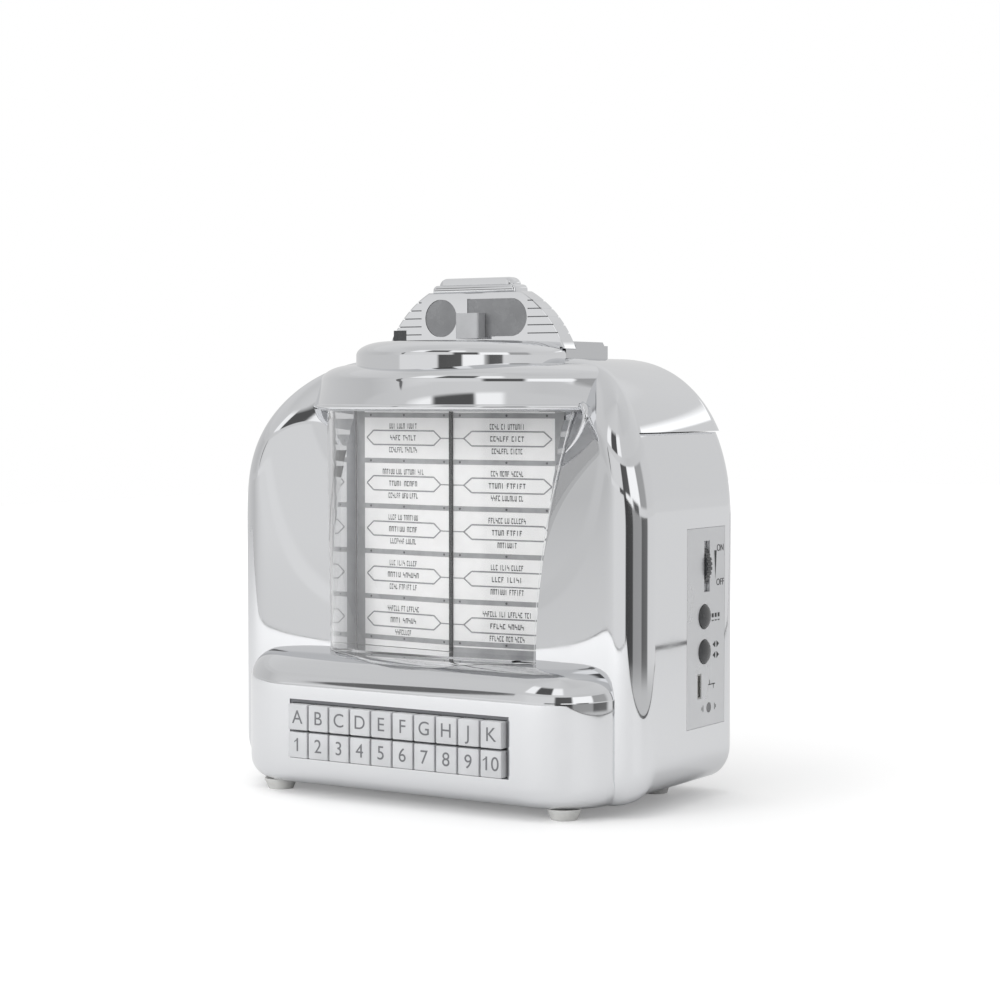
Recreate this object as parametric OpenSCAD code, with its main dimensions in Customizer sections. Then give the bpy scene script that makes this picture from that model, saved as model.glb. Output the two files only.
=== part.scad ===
/* [Cabinet] */
// Width across the two sides of the cabinet
body_w = 152.4; // [148:0.1:158]
// Depth from the faces of the keys to the back
overall_d = 88.9; // [86:0.1:95]
// Height of the highest point above the table
overall_h = 165.1; // [163:0.1:172]
// Height of the coin head above its shelf
head_rise = 20.7; // [19:0.1:23]
// Height of the rubber feet
foot_h = 3.4; // [2.6:0.2:5]
// Distance of the front face behind the faces of the keys
front_setback = 19.65; // [18:0.05:21]
// Thickness of the moulded walls
wall = 2.2; // [1.8:0.1:2.6]

/* [Shoulders] */
// Width of each rounded shoulder of the arch
shoulder_w = 41; // [36:0.5:44]
// Radius of the two bottom corners
corner_r = 12; // [9:0.5:14]
// Fillet along the upright front edges
side_fillet = 9.5; // [7:0.5:11]
// Drop of the rounded top edge over the front
crown_drop = 24; // [18:0.5:26]
// Reach of the rounded top edge over the roof
crown_reach = 26; // [20:0.5:28]
// Fillet around the back
rear_fillet = 10.6; // [8:0.2:12]
// Distance of the shell seam behind the front face
seam_setback = 9.5; // [9:0.5:12]
// Drop from the flat roof to the ledge where the rear shell tucks under the front shell
ledge_drop = 23; // [20:0.5:27]
// Step from the front shell down to the rear shell
shell_step = 1.2; // [0.8:0.1:1.6]

/* [Window] */
// Distance from the cabinet's side to the curved window's circle
glass_inset = 19.7; // [18:0.1:22]
// Distance of the window's centre line behind the front face, in window radii
glass_share = 0.7575; // [0.72:0.0025:0.8]
// Thickness of the window
glass_t = 1.5; // [1:0.1:2]
// Distance that the cheeks beside the window lean back by at the visor
lean_d = 9.7; // [8:0.1:11]
// Half width of the page bay, in window radii
bay_share = 0.708; // [0.68:0.001:0.725]
// Distance of the page spine behind the front face
spine_setback = 14.2; // [12:0.2:15]
// Angle of each page behind the straight front
page_angle = 5; // [3:0.5:6]

/* [Keys] */
// Number of keys in a row
key_columns = 10; // [8:1:10]
// Width of the block of keys, in cabinet widths
key_share = 0.5276; // [0.5:0.0002:0.54]
// Distance between the two rows of keys
row_pitch = 8.8; // [8.2:0.1:9.4]
// Gap between neighbouring keys
key_gap = 0.4; // [0.3:0.05:0.6]
// Height of the middle of the key block above the table
key_mid_z = 21.4; // [20:0.2:23]
// Travel of a key
key_travel = 1.5; // [1:0.1:1.6]
// Distance that the keys stand out of the console
key_proud = 2.55; // [2.2:0.05:3.2]

/* [Console] */
// Distance from the cabinet's side to the console's side
console_inset = 7.85; // [6:0.05:12]
// Radius of the console's corners seen from above
console_r = 22.8; // [20:0.5:24]
// Height of the console's top above the table
console_top = 45.2; // [43:0.5:47]
// Fillet around the console's top edge
console_fillet = 10; // [8:0.5:12]

/* [Visor and coin head] */
// Distance that the visor's lip stands out past the window
visor_proud = 4.5; // [3:0.5:6]
// Height of the visor from its lip to its top
visor_h = 14.4; // [12:0.2:16]
// Radius of the round shelf under the coin head
shelf_r = 34.5; // [32:0.5:36]
// Height of the shelf above the visor
shelf_h = 7.2; // [6.4:0.2:10]
// Height of the flat roof above the visor's top
roof_rise = 1.8; // [1.2:0.2:4]
// Radius of the coin head's half round plate
head_r = 36.5; // [35:0.5:38]
// Thickness of the coin head
head_t = 7.6; // [6.5:0.1:9]
// Number of ribs on each side of the coin head
rib_count = 5; // [3:1:5]

/* [Side controls] */
// Height of the side panel's lower edge
panel_z0 = 23.8; // [22:0.2:26]
// Height of the side panel's upper edge
panel_z1 = 86; // [84:0.2:87]
// Width of the side panel
panel_w = 25.25; // [24:0.25:27]
// Radius of the volume wheel
wheel_r = 9; // [8:0.1:9.5]
// Diameter of a side button
button_d = 7.6; // [6.5:0.1:8]
// Travel of a side button
button_travel = 0.6; // [0.4:0.1:0.7]

/* [Back] */
// Radius of the loudspeaker's frame
speaker_r = 26; // [22:0.5:28]
// Radius of one hole in the grille
grille_hole_r = 1.4; // [1:0.1:1.6]
// Rings of holes around the middle one
grille_rings = 4; // [2:1:4]

/* [Hidden] */

// Smoothness of round surfaces
$fn = 64;
// One overrun serves every cut
over = 1;
// Gap between seated pieces of different bodies
fit = 0.3;
// Gap around pieces that are glued or clipped in
seat = 0.1;
// Radial running gap of a shaft in its hole
run_fit = 0.05;

half_w = body_w / 2;
y_keys = -overall_d / 2;
y_back = overall_d / 2;
y_front = y_keys + front_setback;
y_seam = y_front + seam_setback;
y_console = y_keys + key_proud;
shelf_top = overall_h - head_rise;
visor_top = shelf_top - shelf_h;
visor_bottom = visor_top - visor_h;
body_top = visor_top + roof_rise;
// The shoulders start at the height of the side panel's upper edge
shoulder_h = body_top - panel_z1;
ledge_z = body_top - ledge_drop;
glass_r = half_w - glass_inset;
glass_y = y_front + glass_r * glass_share;
visor_r = glass_r + visor_proud;
bay_half = glass_r * bay_share;
console_half = half_w - console_inset;

// Steps of the arch and of the fillets
corner_steps = 4;
shoulder_steps = 16;
fillet_steps = 9;
rear_steps = 4;
// Squareness of the shoulders, where 2 is an ellipse
shoulder_power = 2.25;
// How late the crown's wide fillet takes over from the side fillet
crown_power = 4;
// Fillet under the front and back edges
bottom_fillet = 5.6;
// Smallest fillet left inside the walls
inner_fillet = 1;
arch_x = half_w - shoulder_w;
arch_z = body_top - shoulder_h;

// The cheeks lean back from the upright line where the side fillet begins
cheek_x = half_w - side_fillet;
// Line inside the window to which the cheek's surface is carried on
cheek_inner_share = 0.75;
cheek_inner_x = bay_half * cheek_inner_share;
cheek_sink = 7.2;
cheek_z0 = console_top - cheek_sink;
cheek_z1 = body_top + over;
cheek_steps = 20;
// Depth of the cheek at the window's edge above the console
cheek_start = 1.8;
function lean_share(z) = max(z - console_top, 0) / (visor_bottom - console_top);
function edge_depth(z) = cheek_start + lean_d * pow(lean_share(z), 2);
function edge_x(z) = sqrt(pow(glass_r, 2) - pow(glass_y - y_front - edge_depth(z), 2));
function cheek_share(x, z) = max(cheek_x - abs(x), 0) / (cheek_x - edge_x(z));
function cheek_y(x, z) = y_front + edge_depth(z) * cheek_share(x, z);
function cheek_slope(x, z) =
    cheek_share(x, z) * 2 * lean_d * lean_share(z) / (visor_bottom - console_top);
function cheek_row(z, far) = far < y_front ?
    [[cheek_x, y_front, z], [cheek_x, far, z],
     [cheek_inner_x, far, z], [cheek_inner_x, cheek_y(cheek_inner_x, z), z]] :
    [[cheek_x, y_front, z], [cheek_inner_x, cheek_y(cheek_inner_x, z), z],
     [cheek_inner_x, far, z], [cheek_x, far, z]];

// A point of the arch holds x, z, the normal and the blend from side to crown
function corner_point(a) = [
    half_w - corner_r + corner_r * cos(a),
    foot_h + corner_r + corner_r * sin(a),
    cos(a), sin(a), 0, bottom_fillet + (side_fillet - bottom_fillet) * cos(a)
];
function shoulder_point(t) =
    let (e = 2 / shoulder_power,
         gx = pow(cos(t), 2 - e) / shoulder_w,
         gz = pow(sin(t), 2 - e) / shoulder_h,
         g = norm([gx, gz]))
    [arch_x + shoulder_w * pow(cos(t), e), arch_z + shoulder_h * pow(sin(t), e),
     gx / g, gz / g, pow(sin(t), crown_power), side_fillet];
function arch_half(coarse) = concat(
    [for (i = [0 : corner_steps / coarse]) corner_point(90 * (i * coarse / corner_steps - 1))],
    [for (i = [0 : floor(shoulder_steps / coarse)])
        shoulder_point(90 * i / floor(shoulder_steps / coarse))]);

function mirrored(ring) = concat(ring, [for (i = [len(ring) - 1 : -1 : 0])
    [-ring[i][0], ring[i][1], ring[i][2]]]);

// Rings of the front fillet, of angle s, and of the rear fillet. The front fillet starts on the
// leaning cheek, at its slope, and a ring before it stands proud for the cheek to cut
function front_drop(p, inset) = max(p[5] + p[4] * (crown_drop - side_fillet) - inset, inner_fillet);
function front_reach(p, inset) = max(p[5] + p[4] * (crown_reach - side_fillet) - inset, inner_fillet);
function front_y(p, s, inset, drop, lean) =
    let (x = p[0] - p[2] * (drop + inset), z = p[1] - p[3] * (drop + inset),
         y0 = y_front + inset + lean * (cheek_y(x, z) - y_front))
    y0 + lean * cheek_slope(x, z) * drop * sin(s) * (1 - sin(s)) +
        (y_front + inset + front_reach(p, inset) - y0) * (1 - cos(s));
function front_ring(half, s, inset, lean) = mirrored([for (p = half)
    let (drop = front_drop(p, inset), d = inset + drop * (1 - sin(s)))
    [p[0] - p[2] * d, front_y(p, s, inset, drop, lean), p[1] - p[3] * d]]);
function proud_ring(half, inset) =
    [for (p = front_ring(half, 0, inset, 0)) [p[0], y_front - over, p[2]]];
function rear_ring(half, s, inset) = mirrored([for (p = half)
    let (r = max(min(p[5], rear_fillet) + p[4] * (rear_fillet - side_fillet) - inset, inner_fillet),
         d = inset + r * (1 - sin(s)))
    [p[0] - p[2] * d, y_back - inset - r * (1 - cos(s)), p[1] - p[3] * d]]);

// Closed solid through a list of rings with the same number of points
module loft(rings) {
    n = len(rings[0]);
    last = len(rings) - 1;
    polyhedron(
        points = [for (ring = rings) for (p = ring) p],
        faces = concat(
            [[for (i = [n - 1 : -1 : 0]) i]],
            [for (j = [0 : last - 1]) for (i = [0 : n - 1])
                [j * n + i, j * n + (i + 1) % n, (j + 1) * n + (i + 1) % n]],
            [for (j = [0 : last - 1]) for (i = [0 : n - 1])
                [j * n + i, (j + 1) * n + (i + 1) % n, (j + 1) * n + i]],
            [[for (i = [0 : n - 1]) last * n + i]]),
        convexity = 6);
}

// The whole cabinet as one rounded arch, drawn in by an inset
module body_form(inset = 0, coarse = 1, lean = 1) {
    half = arch_half(coarse);
    fronts = ceil(fillet_steps / coarse);
    rears = ceil(rear_steps / coarse);
    difference() {
        loft(concat(
            [proud_ring(half, inset)],
            [for (j = [0 : fronts]) front_ring(half, 90 * j / fronts, inset, lean)],
            [for (j = [rears : -1 : 0]) rear_ring(half, 90 * j / rears, inset)]));
        box([-half_w - over, y_front - 2 * over, 0], [half_w + over, y_front + inset, body_top]);
    }
}

module along_y(y0, y1) {
    translate([0, y1, 0]) rotate([90, 0, 0]) linear_extrude(y1 - y0) children();
}

module along_x(x0, x1) {
    translate([x0, 0, 0]) rotate([90, 0, 90]) linear_extrude(x1 - x0) children();
}

module box(low, high) {
    translate(low) cube(high - low);
}

module both_sides() {
    children();
    mirror([1, 0, 0]) children();
}

// Space on one side of both cheek surfaces, as far as the plane y = far
module cheeks(far) {
    both_sides() loft([for (k = [0 : cheek_steps])
        cheek_row(cheek_z0 + (cheek_z1 - cheek_z0) * k / cheek_steps, far)]);
}

module scooped_body() {
    difference() {
        body_form();
        cheeks(y_keys);
    }
}

// The cabinet's inside, kept clear of the leaning cheeks
module cavity() {
    difference() {
        body_form(wall, 2);
        translate([0, wall, 0]) cheeks(y_keys);
    }
}

// Outline of the window opening, flared as the curved window meets the cheeks
window_sink = 1.5;
window_z0 = console_top - window_sink;
window_steps = 10;
function window_edge() = [for (k = [0 : window_steps])
    let (z = window_z0 + (visor_bottom - window_z0) * k / window_steps) [edge_x(z), z]];
module window_outline() {
    polygon(concat(window_edge(), [for (i = [window_steps : -1 : 0])
        [-window_edge()[i][0], window_edge()[i][1]]]));
}

// Space behind the seam and below the ledge, which the rear shell fills
module rear_space() {
    difference() {
        box([-half_w - over, y_seam, foot_h - over], [half_w + over, y_back + over, ledge_z]);
        // The walls beside and above the window stay with the front shell
        box([-cheek_x + wall, y_seam - over, window_z0],
            [cheek_x - wall, y_front + crown_reach, ledge_z + over]);
    }
}

// Bay for the pages and the hole for the key wires in the front wall
pillar_w = 7;
bay_z0 = window_z0;
bay_back = 1.2;
y_spine = y_front + spine_setback;
bay_depth = 6;
y_bay_back = y_spine + bay_depth;
wire_hole = [20, 8];

module front_shell() color("gainsboro") {
    difference() {
        scooped_body();
        cavity();
        rear_space();
        along_y(y_front - over, y_front + wall + front_setback) window_outline();
        box([-wire_hole[0] / 2, y_front - over, key_mid_z - wire_hole[1] / 2],
            [wire_hole[0] / 2, y_front + wall + over, key_mid_z + wire_hole[1] / 2]);
    }
}

// Rear shell, one step smaller than the front shell
panel_y1 = y_back - rear_fillet - shell_step;
panel_y0 = panel_y1 - panel_w;
panel_t = 1.1;
side_x = half_w - shell_step;
side_wall = 2.6;
pocket_x = side_x - panel_t - seat;
back_inset = 18.2;
back_w = body_w - 2 * back_inset;
back_z0 = 19;
back_drop = 9;
back_z1 = ledge_z - back_drop;
back_r = 8;
back_t = 1.3;
back_ledge = 4;
boss_r = 3;
screw_r = 1.1;
standoff_r = 2;

module rounded_plate(w, z0, z1, r) {
    translate([-w / 2 + r, z0]) square([w - 2 * r, z1 - z0]);
    translate([-w / 2, z0 + r]) square([w, z1 - z0 - 2 * r]);
    for (x = [-w / 2 + r, w / 2 - r]) for (z = [z0 + r, z1 - r]) translate([x, z]) circle(r);
}

wheel_x = half_w - wheel_r - seat / 2;
// Places of the controls from the panel's front edge, and down from its top
wheel_back = 13.2;
wheel_down = 12.1;
wheel_y = panel_y0 + wheel_back;
wheel_z = panel_z1 - wheel_down;
wheel_t = 2.9;
slot_y = 3.7;
slot_z = 16;
button_r = button_d / 2;
button_hole_r = button_r + fit / 2;
mode_back = 11.6;
mode_down = 27.8;
mode_y = panel_y0 + mode_back;
mode_z = panel_z1 - mode_down;
scan_down = 11;
scan_z = mode_z - scan_down;
usb_back = 8.3;
usb_down = 10.6;
usb_y = panel_y0 + usb_back;
usb_z = scan_z - usb_down;
usb_w = 2.5;
usb_h = 7.6;
lamp_back = 14.7;
lamp_down = 7.2;
lamp_y = panel_y0 + lamp_back;
lamp_z = usb_z - lamp_down;
lamp_r = 1.5;

// Openings that the side controls need through the panel and the wall behind it
module control_cuts(x0, x1) {
    box([x0, wheel_y - slot_y / 2, wheel_z - slot_z / 2], [x1, wheel_y + slot_y / 2, wheel_z + slot_z / 2]);
    for (z = [mode_z, scan_z]) translate([x0, mode_y, z]) rotate([0, 90, 0])
        cylinder(r = button_hole_r, h = x1 - x0);
    box([x0, usb_y - usb_w / 2 - seat, usb_z - usb_h / 2 - seat],
        [x1, usb_y + usb_w / 2 + seat, usb_z + usb_h / 2 + seat]);
    translate([x0, lamp_y, lamp_z]) rotate([0, 90, 0]) cylinder(r = lamp_r + seat, h = x1 - x0);
}

back_screws = [for (x = [-1, 1]) for (z = [0, 1])
    [x * (back_w / 2 - back_r), z == 0 ? back_z0 + back_r : back_z1 - back_r]];

module rear_shell() color("gainsboro") {
    difference() {
        intersection() {
            body_form(shell_step, 1, 0);
            rear_space();
        }
        difference() {
            body_form(shell_step + wall, 2, 0);
            // Thicker wall behind the side panel
            box([side_x - side_wall, panel_y0 - wall, panel_z0 - wall],
                [side_x, panel_y1 + wall, panel_z1 + wall]);
            for (p = back_screws) translate([p[0], y_back, p[1]]) rotate([90, 0, 0])
                cylinder(r = boss_r, h = wall * 4);
        }
        box([pocket_x, panel_y0 - seat, panel_z0 - seat], [half_w, panel_y1 + seat, panel_z1 + seat]);
        control_cuts(side_x - side_wall - over, side_x);
        along_y(y_back - shell_step - back_t - seat, y_back)
            rounded_plate(back_w + 2 * seat, back_z0 - seat, back_z1 + seat, back_r + seat);
        along_y(y_back - shell_step - wall - over, y_back)
            rounded_plate(back_w - 2 * boss_r - 4 * back_ledge,
                back_z0 + back_ledge, back_z1 - back_ledge, back_r);
        for (p = back_screws) translate([p[0], y_back, p[1]]) rotate([90, 0, 0])
            cylinder(r = screw_r, h = wall * 4);
    }
}

// Back panel with the loudspeaker's grille of round holes
speaker_z = (back_z0 + back_z1) / 2;
speaker_y = y_back - shell_step - back_t;
grille_rim_share = 0.84;
grille_step = (speaker_r * grille_rim_share - grille_hole_r) / max(grille_rings, 4);
module grille_holes() {
    circle(grille_hole_r);
    for (ring = [1 : grille_rings]) for (i = [0 : 6 * ring - 1])
        rotate(i * 60 / ring) translate([ring * grille_step, 0]) circle(grille_hole_r);
}
module back_panel() color("silver") {
    along_y(speaker_y, speaker_y + back_t) difference() {
        rounded_plate(back_w, back_z0, back_z1, back_r);
        translate([0, speaker_z]) grille_holes();
        for (p = back_screws) translate(p) circle(screw_r + seat);
    }
}

module console_profile(inset) {
    r = console_r - inset;
    z0 = foot_h + inset;
    z1 = console_top - inset;
    top = console_fillet - inset;
    base = max(bottom_fillet - inset, inner_fillet);
    polygon(concat(
        [[0, z0]],
        [for (i = [0 : 3]) let (a = 90 * (i / 3 - 1))
            [r - base + base * cos(a), z0 + base + base * sin(a)]],
        [for (i = [0 : 8]) let (a = 90 * i / 8)
            [r - top + top * cos(a), z1 - top + top * sin(a)]],
        [[0, z1]]));
}

console_flat = console_half - console_r;
module console_form(inset = 0) {
    difference() {
        union() {
            along_x(-console_flat, console_flat)
                translate([y_console + console_r, 0]) mirror([1, 0]) console_profile(inset);
            both_sides() translate([console_flat, y_console + console_r, 0]) rotate([0, 0, -90])
                rotate_extrude(angle = 90) console_profile(inset);
            box([-console_half + inset, y_console + console_r - over, foot_h + inset],
                [console_half - inset, y_console + console_r, console_top - console_fillet]);
        }
        box([-half_w, y_front, 0], [half_w, y_back, body_top]);
    }
}

// Keys, their frame and what lies behind them
block_w = body_w * key_share;
key_pitch = block_w / key_columns;
block_h = 2 * row_pitch;
key_margin = 0.5;
cap_d = 5.3;
key_bevel = 0.5;
stem_w = 3;
barb_w = 4.2;
barb_d = 1.2;
carrier_t = 2;
frame_w = 3;
carrier_lift = 0.45;
y_carrier = y_keys + cap_d + key_travel + carrier_lift;
y_inner_front = y_console + wall;
stem_gap = 0.2;
y_stem_end = y_carrier + carrier_t + fit + barb_d;
y_pad_tip = y_stem_end + key_travel + fit;
dome_h = 1.1;
pad_t = 0.8;
board_t = 1.6;
y_board = y_pad_tip + dome_h + pad_t;
dome_r = 2.2;
frame_x = block_w / 2 + key_margin + frame_w;
key_screw_x = frame_x + boss_r + seat;
function key_x(column) = (column + 0.5) * key_pitch - block_w / 2;
function key_z(row) = key_mid_z + (row == 0 ? 0.5 : -0.5) * row_pitch;

module console_housing() color("gainsboro") {
    difference() {
        console_form();
        difference() {
            console_form(wall);
            both_sides() translate([key_screw_x, y_inner_front + 2 * frame_w, key_mid_z]) rotate([90, 0, 0])
                cylinder(r = boss_r, h = 2 * frame_w + over);
        }
        box([-block_w / 2 - key_margin, y_keys, key_mid_z - block_h / 2 - key_margin],
            [block_w / 2 + key_margin, y_inner_front + over, key_mid_z + block_h / 2 + key_margin]);
        both_sides() translate([key_screw_x, y_inner_front + 2 * frame_w + over, key_mid_z])
            rotate([90, 0, 0]) cylinder(r = screw_r, h = 2 * frame_w);
        box([-half_w, y_front, 0], [half_w, y_front + over, body_top]);
    }
}

module frame_box(grow, y0, y1) {
    box([-block_w / 2 - key_margin - grow, y0, key_mid_z - block_h / 2 - key_margin - grow],
        [block_w / 2 + key_margin + grow, y1, key_mid_z + block_h / 2 + key_margin + grow]);
}

// Ear that reaches from the frame to a screw boss of the console
module ears(y0, y1) {
    both_sides() {
        box([frame_x - seat, y0, key_mid_z - boss_r], [key_screw_x, y1, key_mid_z + boss_r]);
        translate([key_screw_x, y1, key_mid_z]) rotate([90, 0, 0]) cylinder(r = boss_r, h = y1 - y0);
    }
}

module key_carrier() color("dimgray") {
    difference() {
        union() {
            frame_box(frame_w, y_inner_front, y_board);
            ears(y_inner_front + 2 * frame_w, y_board);
        }
        frame_box(0, y_inner_front - over, y_carrier);
        frame_box(0, y_carrier + carrier_t, y_board + over);
        for (column = [0 : key_columns - 1]) for (row = [0, 1])
            box([key_x(column) - stem_w / 2 - stem_gap, y_carrier - over, key_z(row) - stem_w / 2 - stem_gap],
                [key_x(column) + stem_w / 2 + stem_gap, y_carrier + carrier_t + over,
                 key_z(row) + stem_w / 2 + stem_gap]);
        both_sides() translate([key_screw_x, y_board + over, key_mid_z]) rotate([90, 0, 0])
            cylinder(r = screw_r + seat, h = y_board - y_inner_front);
    }
}

// One key: a bevelled cap on a square stem with a snap barb
module key(column, row) color("lightgray") {
    w = key_pitch - key_gap;
    h = row_pitch - key_gap;
    translate([key_x(column), 0, key_z(row)]) {
        intersection() {
            along_x(-w / 2, w / 2) polygon([
                [y_keys + cap_d, -h / 2], [y_keys + cap_d, h / 2], [y_keys + key_bevel, h / 2],
                [y_keys, h / 2 - key_bevel], [y_keys, -h / 2 + key_bevel], [y_keys + key_bevel, -h / 2]]);
            translate([0, 0, -h / 2]) linear_extrude(h) polygon([
                [-w / 2, y_keys + cap_d], [-w / 2, y_keys + key_bevel], [-w / 2 + key_bevel, y_keys],
                [w / 2 - key_bevel, y_keys], [w / 2, y_keys + key_bevel], [w / 2, y_keys + cap_d]]);
        }
        box([-stem_w / 2, y_keys + cap_d - seat, -stem_w / 2], [stem_w / 2, y_stem_end, stem_w / 2]);
        box([-barb_w / 2, y_stem_end - barb_d, -stem_w / 2], [barb_w / 2, y_stem_end, stem_w / 2]);
    }
}

module key_pad() color("white") {
    frame_box(-fit, y_board - pad_t, y_board);
    for (column = [0 : key_columns - 1]) for (row = [0, 1])
        translate([key_x(column), y_board - pad_t + seat, key_z(row)]) rotate([90, 0, 0])
            cylinder(r = dome_r, h = dome_h + seat, $fn = 24);
}

module key_board() color("darkgreen") {
    difference() {
        union() {
            frame_box(frame_w, y_board, y_board + board_t);
            ears(y_board, y_board + board_t);
        }
        both_sides() translate([key_screw_x, y_board + board_t + over, key_mid_z]) rotate([90, 0, 0])
            cylinder(r = screw_r + seat, h = board_t + 2 * over);
    }
}

// A pan head screw whose head sits at the origin and whose shank runs along -Z
head_h = 1.1;
module screw(length) {
    cylinder(r = 2 * screw_r, h = head_h, $fn = 24);
    translate([0, 0, -length]) cylinder(r = screw_r - run_fit, h = length + seat, $fn = 24);
}

module key_screws() color("silver") {
    both_sides() translate([key_screw_x, y_board + board_t, key_mid_z]) rotate([-90, 0, 0])
        screw(y_board + board_t - y_inner_front - wall);
}

// Visor over the window: a lip, a shallow cove and a broad rounding into the top
lip_h = 1.8;
lip_bevel = 0.35;
cove_in = 2.6;
cove_dip = 0.5;
top_round_w = 11;
top_round_h = 5.4;
visor_angle = 64;
glass_angle = 62;
visor_core = 24;
module visor_profile() {
    cove_z = visor_bottom + lip_h;
    cove_top = visor_top - top_round_h;
    round_x = visor_r - cove_in - top_round_w;
    polygon(concat(
        [[visor_core, visor_bottom], [visor_r - lip_bevel, visor_bottom],
         [visor_r, visor_bottom + lip_bevel], [visor_r, cove_z - lip_bevel]],
        [for (i = [1 : 3])
            [visor_r - cove_in * i / 4 - cove_dip * sin(180 * i / 4), cove_z + (cove_top - cove_z) * i / 4]],
        [for (i = [0 : 6]) let (a = 90 * i / 6)
            [round_x + top_round_w * cos(a), cove_top + top_round_h * sin(a)]],
        [[visor_core, visor_top]]));
}
module visor() color("gainsboro") {
    difference() {
        translate([0, glass_y, 0]) rotate([0, 0, -90 - visor_angle])
            rotate_extrude(angle = 2 * visor_angle) visor_profile();
        scooped_body();
    }
}

// Round shelf and the housing behind it, which carry the coin head
shelf_setback = 21.5;
shelf_y = y_front + shelf_setback;
shelf_edge = 1.2;
// The shelf's top edge is a quarter of an ellipse
shelf_round_w = 10;
shelf_round_h = 4.4;
housing_half = 33.5;
housing_back = 7.3;
housing_y0 = shelf_y + housing_back;
housing_d = 26.45;
housing_y1 = housing_y0 + housing_d;
head_back = 5.6;
head_y0 = shelf_y + head_back;
head_y1 = head_y0 + head_t;
head_sink = 15.9;
head_cz = shelf_top - head_sink;
// The head's plate stands in a slot of the shelf and the housing
head_foot = 2.4;
module head_slot() {
    box([-head_r, head_y0 - seat, shelf_top - head_foot - seat], [head_r, head_y1 + seat, overall_h]);
}

module coin_shelf() color("gainsboro") {
    difference() {
        translate([0, shelf_y, 0]) rotate_extrude(angle = 360) polygon(concat(
            [[0, visor_top], [shelf_r, visor_top]],
            [for (i = [0 : 6]) let (a = 90 * i / 6)
                [shelf_r - shelf_round_w * (1 - cos(a)), shelf_top - shelf_round_h * (1 - sin(a))]],
            [[0, shelf_top]]));
        head_slot();
        box([-half_w, housing_y0, visor_bottom], [half_w, shelf_y + shelf_r + over, overall_h]);
        body_form();
    }
}

module head_housing() color("gainsboro") {
    difference() {
        union() {
            translate([0, 0, body_top]) linear_extrude(shelf_top - body_top - shelf_edge)
                translate([-housing_half, housing_y0]) square([2 * housing_half, housing_y1 - housing_y0]);
            along_x(-housing_half + shelf_edge, housing_half - shelf_edge) polygon([
                [housing_y0, shelf_top - shelf_edge - seat], [housing_y0, shelf_top],
                [housing_y1 - shelf_edge, shelf_top], [housing_y1, shelf_top - shelf_edge],
                [housing_y1, shelf_top - shelf_edge - seat]]);
        }
        head_slot();
    }
}

// Coin head: a half round plate with speed ribs and three sunk inserts
cap_h = 4.6;
cap_z = overall_h - cap_h;
rib_pitch = 2.6;
rib_cut = 0.55;
rib_x = 20.4;
rib_start = 3.12;
insert_r = 6.1;
insert_rise = 7.8;
insert_z = shelf_top + insert_rise;
insert_d = 1;
disc_x = -12.7;
plate_x0 = -2.5;
plate_x1 = 20;
pane_x0 = -31.6;
pane_w = 5.3;
pane_h = 4.2;
plate_gap = 1.6;

module head_outline(inset = 0) {
    intersection() {
        translate([0, head_cz]) circle(head_r - inset, $fn = 128);
        translate([-head_r, shelf_top - head_foot]) square([2 * head_r, cap_z - shelf_top + head_foot]);
    }
}
module plate_outline(inset = 0) {
    difference() {
        union() {
            translate([plate_x1 - insert_r, insert_z]) circle(insert_r - inset);
            translate([plate_x0 - insert_r + inset, insert_z - insert_r + inset])
                square([plate_x1 - plate_x0 - inset, 2 * insert_r - 2 * inset]);
        }
        translate([disc_x, insert_z]) circle(insert_r + plate_gap + inset);
        translate([disc_x - insert_r, insert_z - insert_r])
            square([plate_x0 - disc_x + insert_r + inset, 2 * insert_r]);
    }
}
module pane_outline(inset = 0) {
    translate([pane_x0 + inset, shelf_top + inset]) square([pane_w - 2 * inset, pane_h - 2 * inset]);
}

module coin_head() color("gainsboro") {
    difference() {
        along_y(head_y0, head_y1) head_outline();
        for (i = [0 : rib_count - 1]) let (z = cap_z - rib_start - rib_pitch * i)
            difference() {
                both_sides() box([rib_x, head_y0 - over, z - rib_cut / 2],
                                 [head_r + over, head_y1 + over, z + rib_cut / 2]);
                along_y(head_y0 + rib_cut, head_y1 + 2 * over) head_outline(rib_cut);
            }
        along_y(head_y0 - over, head_y0 + insert_d) {
            translate([disc_x, insert_z]) circle(insert_r);
            plate_outline();
            pane_outline();
        }
    }
}

cap_base = 15.8;
cap_side = 1.9;
cap_round = 2.4;
cap_over = 0.5;
cap_flat = cap_base - cap_side - cap_round;
module head_cap() color("gainsboro") {
    along_y(head_y0 - cap_over, head_y1 + cap_over) polygon(concat(
        [[-cap_base, cap_z], [cap_base, cap_z], [cap_base - cap_side / 2, cap_z + cap_h / 2]],
        [for (i = [1 : 4]) let (a = 90 * i / 4)
            [cap_flat + cap_round * cos(a), overall_h - cap_round + cap_round * sin(a)]],
        [for (i = [0 : 3]) let (a = 90 * (1 + i / 4))
            [-cap_flat + cap_round * cos(a), overall_h - cap_round + cap_round * sin(a)]],
        [[-cap_base + cap_side / 2, cap_z + cap_h / 2]]));
}

insert_t = 0.8;
module coin_disc() color("dimgray") {
    along_y(head_y0 + insert_d - insert_t, head_y0 + insert_d)
        translate([disc_x, insert_z]) circle(insert_r - seat);
}
module price_plate() color("dimgray") {
    along_y(head_y0 + insert_d - insert_t, head_y0 + insert_d) plate_outline(seat);
}
module return_pane() color("dimgray") {
    along_y(head_y0 + insert_d - insert_t, head_y0 + insert_d) pane_outline(seat);
}

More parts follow.
